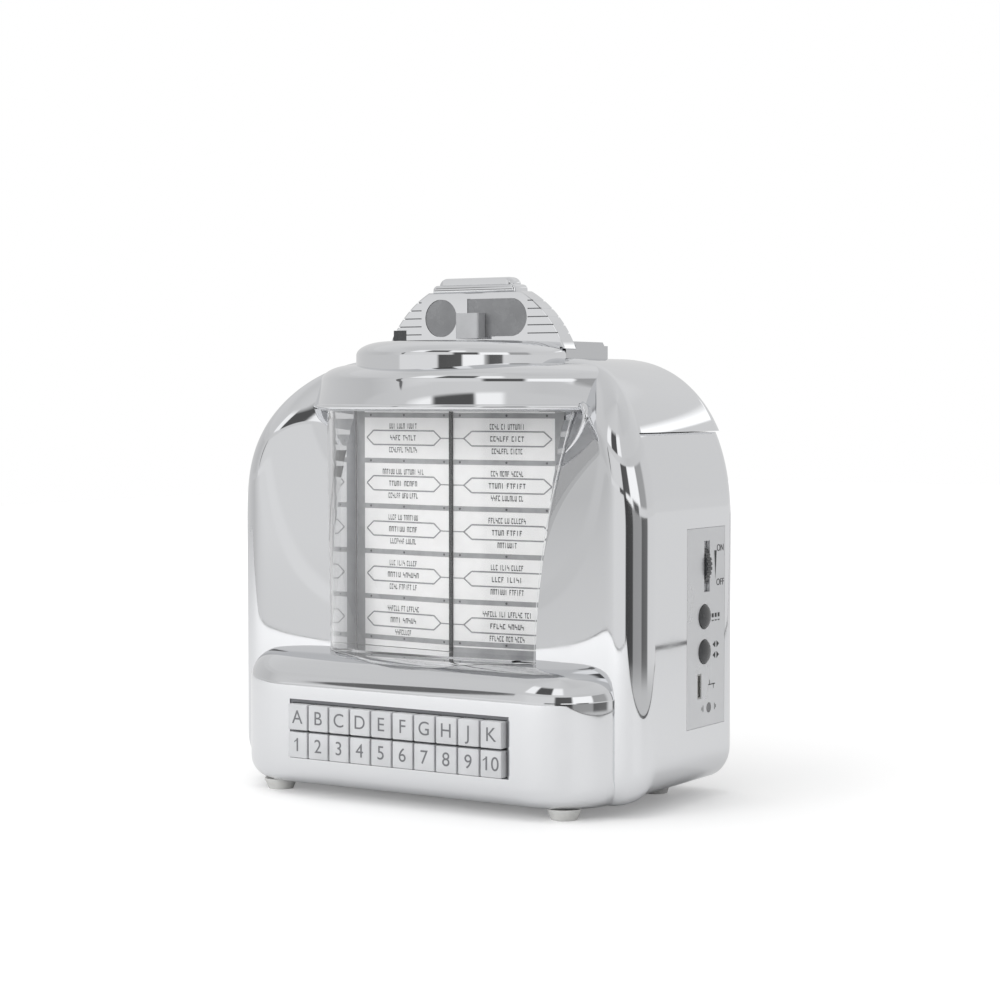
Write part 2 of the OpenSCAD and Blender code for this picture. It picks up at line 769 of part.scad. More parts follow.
slot_w = 8.6;
slot_h = 8.2;
slot_d = 4.3;
slot_z0 = 1;
slot_bevel = 0.4;
module slot_block() color("darkgray") {
    translate([0, 0, shelf_top + slot_z0]) linear_extrude(slot_h) polygon([
        [-slot_w / 2, head_y0], [-slot_w / 2, head_y0 - slot_d + slot_bevel],
        [-slot_w / 2 + slot_bevel, head_y0 - slot_d], [slot_w / 2 - slot_bevel, head_y0 - slot_d],
        [slot_w / 2, head_y0 - slot_d + slot_bevel], [slot_w / 2, head_y0]]);
}

// Curved window between the console and the visor, trimmed to the cheeks
module window_glass() color("white", 0.3) {
    difference() {
        translate([0, glass_y, console_top - console_fillet]) rotate([0, 0, -90 - glass_angle])
            rotate_extrude(angle = 2 * glass_angle)
                translate([glass_r - glass_t, 0])
                    square([glass_t, visor_bottom - console_top + console_fillet]);
        cheeks(y_back);
        console_form();
        box([-half_w, y_front - seat, 0], [half_w, y_back, window_z0]);
    }
}

// Bay behind the window: side pillars, floor, roof and a folded back for the pages
function fold_y(x, lift) = y_spine + lift + abs(x) * tan(page_angle);
card_t = 1;
card_gap = 0.6;
card_w = bay_half - 2 * seat;
spine_w = 0.9;
spine_d = 1.4;
card_z0 = bay_z0 + card_t * 2;
card_z1 = visor_bottom - card_gap;
module page_bay() color("lightgray") {
    difference() {
        union() {
            translate([0, 0, bay_z0]) linear_extrude(visor_bottom - bay_z0) difference() {
                translate([-bay_half - pillar_w, y_front])
                    square([2 * (bay_half + pillar_w), y_bay_back - y_front]);
                polygon([[-bay_half, y_front - over], [-bay_half, fold_y(bay_half, card_t)],
                         [0, fold_y(0, card_t)], [bay_half, fold_y(bay_half, card_t)],
                         [bay_half, y_front - over]]);
            }
            box([-bay_half - seat, y_front, bay_z0],
                [bay_half + seat, y_bay_back - card_t, card_z0 - seat]);
        }
        translate([0, wall, 0]) cheeks(y_keys);
        box([-bay_half - pillar_w - over, y_front - over, bay_z0 - over],
            [bay_half + pillar_w + over, y_front + wall, visor_bottom + over]);
    }
}

module page_card() color("whitesmoke") {
    translate([0, 0, card_z0]) linear_extrude(card_z1 - card_z0) polygon([
        [card_gap, fold_y(card_gap, 0)], [card_w, fold_y(card_w, 0)],
        [card_w, fold_y(card_w, card_t)], [card_gap, fold_y(card_gap, card_t)]]);
}
module page_right() page_card();
module page_left() mirror([1, 0, 0]) page_card();

module page_spine() color("dimgray") {
    box([-spine_w / 2, y_spine - spine_d + card_t / 2, card_z0], [spine_w / 2, fold_y(0, card_t), card_z1]);
}

// Side panel and what works behind it
module control_panel() color("gainsboro") {
    difference() {
        box([side_x - panel_t, panel_y0, panel_z0], [side_x, panel_y1, panel_z1]);
        control_cuts(side_x - panel_t - over, side_x + over);
    }
}

knurl_count = 36;
knurl_d = 0.35;
shaft_r = 1.5;
module volume_wheel() color("dimgray") {
    translate([wheel_x, wheel_y + wheel_t / 2, wheel_z]) rotate([90, 0, 0]) linear_extrude(wheel_t)
        difference() {
            circle(wheel_r, $fn = 96);
            circle(shaft_r + run_fit);
            for (i = [0 : knurl_count - 1]) rotate(i * 360 / knurl_count)
                translate([wheel_r, 0]) circle(knurl_d, $fn = 16);
        }
}

board_gap = 8.4;
board_x = side_x - side_wall - board_gap;
pot_t = 4;
pot_r = 6;
module volume_pot() color("saddlebrown") {
    y0 = wheel_y + slot_y / 2 + fit;
    box([board_x, y0, wheel_z - pot_r], [wheel_x + pot_r / 2, y0 + pot_t, wheel_z + pot_r]);
    translate([wheel_x, y0 + seat, wheel_z]) rotate([90, 0, 0])
        cylinder(r = shaft_r, h = slot_y + fit);
}

button_flange = 1;
button_skirt = 0.9;
button_out = half_w - side_x;
switch_w = 6;
switch_h = 3.6;
plunger_h = 1.1;
plunger_r = 1.7;
x_plunger = board_x + switch_h + plunger_h;
module side_button(z) color("dimgray") {
    x_stop = side_x - side_wall - fit;
    translate([0, mode_y, z]) rotate([0, 90, 0]) rotate_extrude() polygon(concat(
        [[0, x_plunger + button_travel + fit], [button_r, x_plunger + button_travel + fit],
         [button_r, x_stop - button_flange], [button_r + button_skirt, x_stop - button_flange],
         [button_r + button_skirt, x_stop], [button_r, x_stop], [button_r, side_x]],
        [for (i = [1 : 6]) let (a = 90 * i / 6)
            [button_r * cos(a), side_x + button_out * sin(a)]]));
}
module mode_button() side_button(mode_z);
module scan_button() side_button(scan_z);

module tact_switches() color("black") {
    for (z = [mode_z, scan_z]) {
        box([board_x, mode_y - switch_w / 2, z - switch_w / 2],
            [board_x + switch_h, mode_y + switch_w / 2, z + switch_w / 2]);
        translate([board_x + switch_h - seat, mode_y, z]) rotate([0, 90, 0])
            cylinder(r = plunger_r, h = plunger_h + seat, $fn = 24);
    }
}

board_margin = 1;
side_board_y0 = panel_y0 + board_margin;
side_board_y1 = panel_y1 - board_margin;
module side_board() color("darkgreen") {
    difference() {
        box([board_x - board_t, side_board_y0, panel_z0 + board_margin],
            [board_x, side_board_y1, panel_z1 - board_margin]);
        box([board_x - board_t - over, wheel_y - slot_y / 2, wheel_z - wheel_r - over],
            [board_x + over, wheel_y + slot_y / 2, wheel_z + wheel_r + over]);
    }
    for (y = [side_board_y0 + boss_r, side_board_y1 - boss_r])
        translate([board_x - seat, y, panel_z0 + board_margin + boss_r]) rotate([0, 90, 0])
            cylinder(r = standoff_r, h = side_x - side_wall - board_x + seat);
    translate([board_x - seat, side_board_y0 + boss_r, panel_z1 - board_margin - boss_r]) rotate([0, 90, 0])
        cylinder(r = standoff_r, h = side_x - side_wall - board_x + seat);
}

socket_wall = 0.35;
module usb_socket() color("silver") {
    difference() {
        box([board_x, usb_y - usb_w / 2, usb_z - usb_h / 2],
            [side_x - seat, usb_y + usb_w / 2, usb_z + usb_h / 2]);
        box([side_x - usb_h, usb_y - usb_w / 2 + socket_wall, usb_z - usb_h / 2 + socket_wall],
            [side_x + over, usb_y + usb_w / 2 - socket_wall, usb_z + usb_h / 2 - socket_wall]);
    }
    box([side_x - usb_h - seat, usb_y - socket_wall, usb_z - usb_h / 2 + 4 * socket_wall],
        [side_x - 3 * socket_wall, usb_y + socket_wall, usb_z + usb_h / 2 - 4 * socket_wall]);
}

module indicator_lens() color("white", 0.6) {
    translate([board_x, lamp_y, lamp_z]) rotate([0, 90, 0]) cylinder(r = lamp_r, h = side_x - board_x);
}

// Loudspeaker behind the grille, in one stack along Y
speaker_flange = 1.8;
basket_d = 10;
magnet_d = 9;
magnet_r = 14;
basket_t = 1.2;
module turned(y) {
    translate([0, y, speaker_z]) rotate([90, 0, 0]) rotate_extrude() children();
}
module speaker_frame() color("dimgray") {
    turned(speaker_y) polygon([
        [speaker_r - 3 * basket_t, 0], [speaker_r, 0], [speaker_r, speaker_flange],
        [speaker_r - 2 * basket_t, speaker_flange], [magnet_r + basket_t, basket_d],
        [0, basket_d], [0, basket_d - basket_t], [magnet_r, basket_d - basket_t],
        [speaker_r - 3 * basket_t, speaker_flange]]);
}
module speaker_cone() color("black") {
    turned(speaker_y) polygon([
        [magnet_r / 2, basket_d - 2 * basket_t], [0, basket_d - 2.5 * basket_t],
        [0, basket_d - 2 * basket_t], [magnet_r / 2, basket_d - basket_t],
        [speaker_r - 3 * basket_t, speaker_flange - seat], [speaker_r - 3 * basket_t, speaker_flange / 3]]);
}
module speaker_magnet() color("gray") {
    turned(speaker_y) polygon([
        [0, basket_d], [magnet_r, basket_d], [magnet_r, basket_d + magnet_d], [0, basket_d + magnet_d]]);
}

// Circuit board on the back of the page bay, and the rechargeable cell below it
main_w = 62;
main_h = 42;
main_drop = 10.8;
main_z0 = visor_bottom - main_h - main_drop;
stand_h = 3;
module main_board() color("darkgreen") {
    y0 = y_bay_back + stand_h;
    box([-main_w / 2, y0, main_z0], [main_w / 2, y0 + board_t, main_z0 + main_h]);
    for (x = [-1, 1]) for (z = [main_z0 + boss_r, main_z0 + main_h - boss_r])
        translate([x * (main_w / 2 - boss_r), y0 + seat, z]) rotate([90, 0, 0])
            cylinder(r = standoff_r, h = stand_h + seat, $fn = 24);
}

cell_r = 9;
cell_l = 65;
cell_gap = 3;
cell_y = y_bay_back + cell_r + cell_gap;
floor_z = foot_h + shell_step + wall;
cradle_t = 2;
cell_z = floor_z + cell_r + cradle_t;
module battery_cell() color("slategray") {
    translate([-cell_l / 2, cell_y, cell_z]) rotate([0, 90, 0]) {
        cylinder(r = cell_r, h = cell_l);
        translate([0, 0, cell_l - seat]) cylinder(r = cell_r / 3, h = cradle_t / 2 + seat);
    }
}
module battery_cradle() color("dimgray") {
    difference() {
        box([-cell_l / 2 - 2 * cradle_t, cell_y - cell_r - cradle_t, floor_z],
            [cell_l / 2 + 2 * cradle_t, cell_y + cell_r + cradle_t, cell_z]);
        translate([-cell_l / 2 - cradle_t, cell_y, cell_z]) rotate([0, 90, 0])
            cylinder(r = cell_r + seat, h = cell_l + 2 * cradle_t);
    }
}

// Screws of the back panel and the rubber feet
module case_screws() color("silver") {
    for (p = back_screws) translate([p[0], speaker_y + back_t, p[1]]) rotate([-90, 0, 0])
        screw(wall * 3);
}

foot_r = 5.2;
foot_tip_r = 4;
foot_rim = 0.6;
foot_inset = 22.7;
foot_x = half_w - foot_inset;
foot_front = 11.5;
foot_y0 = y_console + foot_front;
foot_rear = 18;
foot_y1 = y_back - foot_rear;
module foot(y, h) {
    translate([foot_x, y, 0]) rotate_extrude() polygon([
        [0, 0], [foot_tip_r, 0], [foot_r, h - foot_rim], [foot_r, h], [0, h]]);
}
module feet() color("gainsboro") {
    both_sides() {
        foot(foot_y0, foot_h);
        foot(foot_y1, foot_h + shell_step);
    }
}

front_shell();
rear_shell();
back_panel();
console_housing();
key_carrier();
key(0, 0);  // key_a
key(1, 0);  // key_b
key(2, 0);  // key_c
key(3, 0);  // key_d
key(4, 0);  // key_e
key(5, 0);  // key_f
key(6, 0);  // key_g
key(7, 0);  // key_h
key(8, 0);  // key_j
key(9, 0);  // key_k
key(0, 1);  // key_1
key(1, 1);  // key_2
key(2, 1);  // key_3
key(3, 1);  // key_4
key(4, 1);  // key_5
key(5, 1);  // key_6
key(6, 1);  // key_7
key(7, 1);  // key_8
key(8, 1);  // key_9
key(9, 1);  // key_10
key_pad();
key_board();
key_screws();
visor();
coin_shelf();
head_housing();
coin_head();
head_cap();
coin_disc();
price_plate();
slot_block();
return_pane();
window_glass();
page_bay();
page_left();
page_right();
page_spine();
control_panel();
volume_wheel();
volume_pot();
mode_button();
scan_button();
tact_switches();
side_board();
usb_socket();
indicator_lens();
main_board();
speaker_frame();
speaker_cone();
speaker_magnet();
battery_cell();
battery_cradle();
case_screws();
feet();
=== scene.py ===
# %% [markdown]
# # A jukebox radio in chrome, dressed in Blender
#
# The radio is a small table set shaped like the wall-box jukeboxes of a diner: a plated arch, a curved window over
# two title pages, a console with twenty keys and a half round coin head. The solid model already holds every part
# in its place. This lesson gives those parts their finish, and it rebuilds the plated mouldings with finer meshes,
# because a mirror shows every facet.

# %% Load the solid model
from math import asin, copysign, cos, degrees, hypot, pi, radians, sin, sqrt, tan

import bpy
import bmesh
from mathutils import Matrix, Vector


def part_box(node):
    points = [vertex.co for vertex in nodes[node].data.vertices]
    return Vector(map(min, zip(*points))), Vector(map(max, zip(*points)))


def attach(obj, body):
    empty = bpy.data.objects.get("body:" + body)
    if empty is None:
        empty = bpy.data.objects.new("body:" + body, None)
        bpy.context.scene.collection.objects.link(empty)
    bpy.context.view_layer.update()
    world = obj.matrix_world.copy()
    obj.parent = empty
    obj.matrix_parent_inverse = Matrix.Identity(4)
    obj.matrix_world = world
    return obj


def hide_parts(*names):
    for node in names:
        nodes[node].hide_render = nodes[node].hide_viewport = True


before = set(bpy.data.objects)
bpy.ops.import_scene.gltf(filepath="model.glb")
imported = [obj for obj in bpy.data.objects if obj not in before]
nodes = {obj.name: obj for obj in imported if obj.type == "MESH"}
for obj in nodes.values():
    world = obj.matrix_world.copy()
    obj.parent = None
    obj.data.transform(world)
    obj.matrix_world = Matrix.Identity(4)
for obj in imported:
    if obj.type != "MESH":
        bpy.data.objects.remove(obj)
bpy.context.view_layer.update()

MM = 0.001

# %% [markdown]
# ## Measures
#
# The solid model is in metres. The lesson works in millimetres, as the drawing does, and turns them to metres only
# when a mesh is made. The names below are the radio's main measures, taken from the same drawing.

# %% Measures of the radio, in millimetres
HALF_W = 76.2
Y_KEYS, Y_FRONT, Y_SEAM, Y_BACK = -44.45, -24.8, -15.3, 44.45
Z_FOOT, LEDGE_Z, VISOR_Z, Z_ROOF = 3.4, 116.0, 122.8, 139.0
CONSOLE_TOP = 45.2
SHOULDER_W, SHOULDER_H = 41.0, 53.0
# Fillets along the front edge at the sides and over the crown, and the one along the rear edge
SIDE_FILLET, CROWN_DROP, CROWN_REACH, REAR_FILLET = 9.5, 24.0, 26.0, 10.6
FOOT_FILLET, FOOT_CORNER = 5.6, 12.0
CHEEK_X = HALF_W - SIDE_FILLET
# A cheek starts this far behind the front, and leans back by this much more up to the visor
CHEEK_STEP, CHEEK_LEAN = 1.8, 9.7
GLASS_R, GLASS_Y, GLASS_T = 56.5, 18.0, 1.5
# The rear shell is drawn in by STEP. WALL is the thickness of the plated mouldings, GAP the play around inserted parts
STEP, WALL, GAP = 1.2, 2.2, 0.1
print("measures in mm: width", 2 * HALF_W, "roof", Z_ROOF, "window radius", GLASS_R)

# %% [markdown]
# ## Small helpers
#
# A mesh in Blender is a list of points and a list of faces. One helper turns millimetres to metres, makes the
# object, smooths it except across sharp edges, and lets it ride on a body of the model, so that it moves with it.

# %% Helpers that make a mesh
def new_object(name, data):
    obj = bpy.data.objects.new(name, data)
    bpy.context.scene.collection.objects.link(obj)
    return obj


def new_mesh(name, points, faces):
    mesh = bpy.data.meshes.new(name)
    mesh.from_pydata([Vector(p) * MM for p in points], [], faces)
    return mesh


# A piece rides on the cabinet unless another body is named
def finish_mesh(obj, finish, stands_for=(), sharp=32, body="cabinet"):
    obj.data.shade_smooth()
    obj.data.set_sharp_from_angle(angle=radians(sharp))
    obj.data.materials.clear()
    obj.data.materials.append(finish)
    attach(obj, body)
    if stands_for:
        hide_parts(*stands_for)


def add_mesh(name, points, faces, finish, stands_for=(), sharp=32, body="cabinet"):
    mesh = new_mesh(name, points, faces)
    mesh.validate()
    obj = new_object(name, mesh)
    finish_mesh(obj, finish, stands_for, sharp, body)
    return obj


def reshape(mesh, change):
    work = bmesh.new()
    work.from_mesh(mesh)
    change(work)
    work.to_mesh(mesh)
    work.free()


def outwards(work):
    bmesh.ops.recalc_face_normals(work, faces=work.faces)


# A loose object is still without finish or body. It becomes a piece of the radio later, or a cutter
def loose(points, faces, name="cutter"):
    mesh = new_mesh(name, points, faces)
    reshape(mesh, outwards)
    return new_object(name, mesh)


def loose_box(low, high):
    points = [(x, y, z) for x in (low[0], high[0]) for y in (low[1], high[1]) for z in (low[2], high[2])]
    return loose(points, [(0, 1, 3, 2), (4, 6, 7, 5), (0, 4, 5, 1), (2, 3, 7, 6), (0, 2, 6, 4), (1, 5, 7, 3)])


def cut(obj, cutters):
    for cutter in cutters:
        step = obj.modifiers.new("cut", "BOOLEAN")
        step.object = cutter
        step.solver = "MANIFOLD"
    bpy.context.view_layer.update()
    shape = bpy.data.meshes.new_from_object(obj.evaluated_get(bpy.context.evaluated_depsgraph_get()))
    obj.modifiers.clear()
    obj.data = shape
    for cutter in cutters:
        bpy.data.objects.remove(cutter)


def make_plated(obj, cutters, node):
    cut(obj, cutters)
    finish_mesh(obj, chrome, [node], 30)
    print(obj.name, "has", len(obj.data.polygons), "faces")


print("helpers for meshes ready")

# %% Helpers that make outlines
def rings_to_faces(count, rings, closed=True):
    faces = []
    for j in range(rings - 1):
        for i in range(count if closed else count - 1):
            k = (i + 1) % count
            faces.append((j * count + i, j * count + k, (j + 1) * count + k, (j + 1) * count + i))
    return faces


def prism_y(outline, y0, y1):
    n = len(outline)
    points = [(x, y0, z) for x, z in outline] + [(x, y1, z) for x, z in outline]
    return points, rings_to_faces(n, 2) + [tuple(range(n - 1, -1, -1)), tuple(range(n, 2 * n))]


# Points along a curve with its centre at x, z. A second radius, for the height, makes it an ellipse
def arc(x, z, r, start, end, steps, rise=None):
    turns = [radians(start + (end - start) * i / steps) for i in range(steps + 1)]
    return [(x + r * cos(a), z + (rise or r) * sin(a)) for a in turns]


def rectangle(x0, z0, x1, z1):
    return [(x0, z0), (x1, z0), (x1, z1), (x0, z1)]


def mirrored(right):
    return right + [(-x, z) for x, z in reversed(right)]


def box_mm(node):
    return [Vector(corner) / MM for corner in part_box(node)]


print("a quarter circle in three steps:", [(round(x, 2), round(z, 2)) for x, z in arc(0, 0, 1, 0, 90, 3)])

# %% [markdown]
# ## Finishes: one helper for nodes
#
# A finish is a small tree of nodes around the Principled shader. One helper adds a node, sets its sockets and links
# it. Colours are picked as sRGB hex values, as from a swatch, and one function turns them to Blender's linear light.
#
# No real surface is even, so `finish_of` takes up to three kinds of change, each with its size in millimetres: `tint`
# (patch size, darker and lighter colour), `dull` (patch size, lowest and highest roughness) and `grain` (grain size,
# height, strength).

# %% Helpers for finishes
def linear(hex_code):
    parts = [int(hex_code[i:i + 2], 16) / 255 for i in (1, 3, 5)]
    return tuple(c / 12.92 if c <= 0.04045 else ((c + 0.055) / 1.055) ** 2.4 for c in parts) + (1.0,)


def add(tree, kind, values=None, links=None, **traits):
    new = tree.nodes.new("ShaderNode" + kind)
    for trait, value in traits.items():
        setattr(new, trait, value)
    for socket, value in (values or {}).items():
        new.inputs[socket].default_value = value
    for socket, (source, out) in (links or {}).items():
        tree.links.new(source.outputs[out], new.inputs[socket])
    return new


def new_finish(name, colour, **shader_values):
    finish = bpy.data.materials.new(name)
    finish.use_nodes = True
    tree = finish.node_tree
    shader = tree.nodes["Principled BSDF"]
    shader.inputs["Base Color"].default_value = linear(colour)
    for socket, value in shader_values.items():
        shader.inputs[socket.replace("_", " ")].default_value = value
    place = add(tree, "TexCoord")
    return finish, tree, shader, place


def noise(tree, place, size_mm, detail):
    return add(tree, "TexNoise", {"Scale": 1 / (size_mm * MM), "Detail": detail}, {"Vector": (place, "Object")})


def vary_roughness(tree, shader, place, patch_mm, low, high, detail=4.0):
    patches = noise(tree, place, patch_mm, detail)
    between = add(tree, "MapRange", {"From Min": 0.3, "From Max": 0.7, "To Min": low, "To Max": high},
                  {"Value": (patches, "Fac")})
    tree.links.new(between.outputs["Result"], shader.inputs["Roughness"])


def vary_colour(tree, shader, place, patch_mm, dark, light):
    ramp = add(tree, "ValToRGB", links={"Fac": (noise(tree, place, patch_mm, 5.0), "Fac")})
    for mark, position, colour in zip(ramp.color_ramp.elements, (0.35, 0.65), (dark, light)):
        mark.position, mark.color = position, linear(colour)
    tree.links.new(ramp.outputs["Color"], shader.inputs["Base Color"])


def add_grain(tree, shader, place, grain_mm, height_mm, strength):
    grain = noise(tree, place, grain_mm, 2.0)
    bump = add(tree, "Bump", {"Strength": strength, "Distance": height_mm * MM}, {"Height": (grain, "Fac")})
    tree.links.new(bump.outputs["Normal"], shader.inputs["Normal"])


def finish_of(name, colour, tint=None, dull=None, grain=None, **shader_values):
    finish, *parts = new_finish(name, colour, **shader_values)
    for change, how in ((vary_colour, tint), (vary_roughness, dull), (add_grain, grain)):
        if how:
            change(*parts, *how)
    return finish


def ray_mask(tree, *kinds):
    ray = add(tree, "LightPath")
    return add(tree, "Math", links={k: (ray, kind) for k, kind in enumerate(kinds)}, operation="MAXIMUM")


def set_surface(tree, last):
    tree.links.new(last.outputs[0], tree.nodes["Material Output"].inputs["Surface"])


print("white is", [round(c, 3) for c in linear("#ffffff")])

# %% [markdown]
# ## Chrome plate
#
# The arch, console, visor and coin head are ABS mouldings with bright chrome plating. Chrome is a metal: it has no
# colour of its own under the light, only a slightly cool grey mirror. What makes it look real is what it isn't
# quite: the moulding under the plate waves a little over some millimetres, and handling leaves faint dull patches.

# %% Chrome plate
# Bright chrome over ABS. It follows the flow waves of the moulding, a few millimetres long and a hundredth deep
chrome = finish_of("chrome_plate", "#e4e5e7", dull=(14.0, 0.02, 0.055), grain=(16.0, 0.02, 0.18),
                   Metallic=1.0, Roughness=0.045)
# The housing behind the coin head has a slightly darker, softer plating
head_chrome = finish_of("satin_chrome_plate", "#cbccce", dull=(9.0, 0.07, 0.13), grain=(12.0, 0.015, 0.15),
                        Metallic=1.0, Roughness=0.1)
# Silver paint, whose metal flakes are too fine to be seen one by one
satin_panel = finish_of("painted_silver_panel", "#d6d7d9", dull=(12.0, 0.27, 0.34, 0.0), grain=(1.0, 0.004, 0.1),
                        Metallic=0.6, Roughness=0.3)
print("finishes so far:", [m.name for m in bpy.data.materials])

# %% [markdown]
# ## Moulded plastics, card and the small parts
#
# The keys and the slot block are light grey ABS with a fine spark-eroded grain. The wheel, the buttons and the
# inserts are dark and glossier. The title pages are printed card, which scatters light without any gloss.

# %% Plastics and rubber
# ABS from a spark-eroded mould, touched every day, so its gloss changes over a few millimetres
key_plastic = finish_of("key_abs_light_grey", "#c3c4c6", (9.0, "#bfc0c2", "#c8c9cb"), (3.0, 0.36, 0.5),
                        (0.3, 0.012, 0.35), Roughness=0.42, IOR=1.53)
# ABS from a polished mould
dark_gloss = finish_of("dark_abs_gloss", "#3c3d3f", (7.0, "#38393b", "#424345"), (4.0, 0.16, 0.3),
                       Roughness=0.22, IOR=1.53)
insert_grey = finish_of("insert_abs_grey", "#808183", (8.0, "#7a7b7d", "#868789"), (4.0, 0.18, 0.34),
                        Roughness=0.25, IOR=1.53)
# ABS with the plain grain of its mould
slot_grey = finish_of("slot_abs_grey", "#b4b5b7", (6.0, "#b0b1b3", "#b9babc"), grain=(0.3, 0.01, 0.3),
                      Roughness=0.36, IOR=1.53)
black_plastic = finish_of("black_abs", "#1a1a1b", dull=(4.0, 0.42, 0.6), grain=(0.3, 0.012, 0.4),
                          Roughness=0.5, IOR=1.53)
# ABS coloured silver in the mass
back_plastic = finish_of("back_abs_silver", "#a7a8aa", (11.0, "#a5a6a8", "#aaabad"), grain=(0.5, 0.02, 0.5),
                         Metallic=0.2, Roughness=0.42)
foot_rubber = finish_of("foot_rubber", "#c9c9c7", (3.0, "#c4c4c2", "#cfcfcd"), grain=(0.4, 0.02, 0.5),
                        Roughness=0.7, IOR=1.5)
silicone = finish_of("silicone_pad", "#d8d7d2", dull=(5.0, 0.5, 0.65), Roughness=0.55, IOR=1.41)
# Shrunk PVC film around the cell
cell_sleeve = finish_of("cell_shrink_sleeve", "#2b4d86", dull=(5.0, 0.24, 0.38), Roughness=0.3, IOR=1.5)
print("finishes:", len(bpy.data.materials))

# %% Card, ink, steel and boards
# Coated card with a fine tooth
card = finish_of("title_card", "#fafafa", (5.0, "#f8f8f8", "#fdfdfd"), grain=(0.25, 0.01, 0.3),
                 Roughness=0.75, IOR=1.45)
# Offset ink on the card, in three strengths
card_grey = finish_of("title_card_grey_print", "#a6a7a9", (4.0, "#9fa0a2", "#adaeb0"), Roughness=0.7, IOR=1.45)
card_line = finish_of("title_card_line_print", "#97989a", (4.0, "#8f9092", "#9fa0a2"), Roughness=0.7, IOR=1.45)
card_text = finish_of("title_card_text_print", "#606163", (3.0, "#58595b", "#68696b"), Roughness=0.7, IOR=1.45)
# Pad print on the keys and screen print on the panel, both a thin matt film
# The pad print's grey also serves as painted shade in the coin head's grooves and around the keys
print_and_shade_grey = finish_of("pad_print_and_painted_shade_grey", "#6d6e71", dull=(1.2, 0.42, 0.58), Roughness=0.5, IOR=1.5)
print_dark = finish_of("screen_print_black", "#2b2c2e", dull=(1.2, 0.42, 0.6), Roughness=0.5, IOR=1.5)
steel = finish_of("zinc_plated_steel", "#b8b8b6", dull=(1.0, 0.22, 0.4), Metallic=1.0, Roughness=0.3)
# Solder mask over glass fibre laminate
laminate = finish_of("board_laminate", "#1d5a33", (6.0, "#1a5430", "#216338"), Roughness=0.4, IOR=1.55)
paper_cone = finish_of("pressed_paper_cone", "#222222", grain=(0.4, 0.05, 0.6), Roughness=0.9, IOR=1.45)
print("finishes:", len(bpy.data.materials))

# %% [markdown]
# ## The window and the lamp lens
#
# The window is a bent sheet of clear polished plastic, 1.5 mm thick. Clear plastic bends light a little less than
# glass does, and its two faces give a faint double reflection.

# %% Clear plastics
clear, tree, shader, place = new_finish("clear_acrylic", "#ffffff", Roughness=0.02, IOR=1.49)
shader.inputs["Transmission Weight"].default_value = 1.0
vary_roughness(tree, shader, place, 25.0, 0.0, 0.03)
# A bent sheet this thin throws no shadow worth the name, so light passes it straight on to the pages. So do rays
# that a mirror threw back, but not those that have been refracted, which count as glossy and as transmitted rays
ray = add(tree, "LightPath")
through = add(tree, "BsdfTransparent", {"Color": (0.93, 0.93, 0.93, 1)})
reflected = add(tree, "Math", links={0: (ray, "Is Glossy Ray"), 1: (ray, "Is Transmission Ray")}, operation="SUBTRACT")
lit = ray_mask(tree, "Is Shadow Ray", "Is Diffuse Ray")
either = add(tree, "Math", links={0: (lit, 0), 1: (reflected, 0)}, operation="MAXIMUM")
set_surface(tree, add(tree, "MixShader", links={"Fac": (either, 0), 1: (shader, 0), 2: (through, 0)}))

# The same plastic where a saw has left it matt
sawn_edge = finish_of("sawn_acrylic_edge", "#dcddde", (2.0, "#d6d7d8", "#e2e3e4"), (1.0, 0.5, 0.7),
                      Roughness=0.6, IOR=1.49)
# A moulded lens, half milky
lens = finish_of("lamp_lens", "#8f9092", dull=(2.0, 0.1, 0.22), Roughness=0.15, IOR=1.49, Transmission_Weight=0.5)
print("clear finishes ready")

# %% [markdown]
# ## The form of the cabinet
#
# The cabinet is an arch with soft shoulders. Its front edge has a small fillet along the upright sides, which grows
# into a wide rounded crown over the top. Beside the window two cheeks lean back, and the crown starts on them. The
# form is made as rings of points around the arch, so that the whole plated surface is one smooth mesh.
#
# `lean` says how far a cheek lies behind the front at a point. The share falls to nothing at the side fillet with
# no crease, as the real moulding does.

# %% Functions of the cabinet's form
# The lean of a cheek starts softly over this many millimetres, with no crease at the side fillet
SOFT_START = 1.0


def cheek_depth(z):
    return CHEEK_STEP + CHEEK_LEAN * (max(z - CONSOLE_TOP, 0.0) / (VISOR_Z - CONSOLE_TOP)) ** 2


def window_x(z):
    return sqrt(GLASS_R ** 2 - (GLASS_Y - Y_FRONT - cheek_depth(z)) ** 2)


def soft(u):
    return sqrt(u * u + SOFT_START ** 2) - SOFT_START if u > 0 else 0.0


def lean(x, z):
    return cheek_depth(z) * soft(CHEEK_X - abs(x)) / soft(CHEEK_X - window_x(z))


# Each point of the arch is (x, z, its outward direction in x and z, share of the crown, side fillet)
def shoulder(t):
    e = 2 / 2.25
    c, s = max(cos(radians(t)), 0.0), max(sin(radians(t)), 0.0)
    gx, gz = c ** (2 - e) / SHOULDER_W, s ** (2 - e) / SHOULDER_H
    g = hypot(gx, gz)
    x = HALF_W - SHOULDER_W + SHOULDER_W * c ** e
    z = Z_ROOF - SHOULDER_H + SHOULDER_H * s ** e
    return (x, z, gx / g, gz / g, s ** 4, SIDE_FILLET)


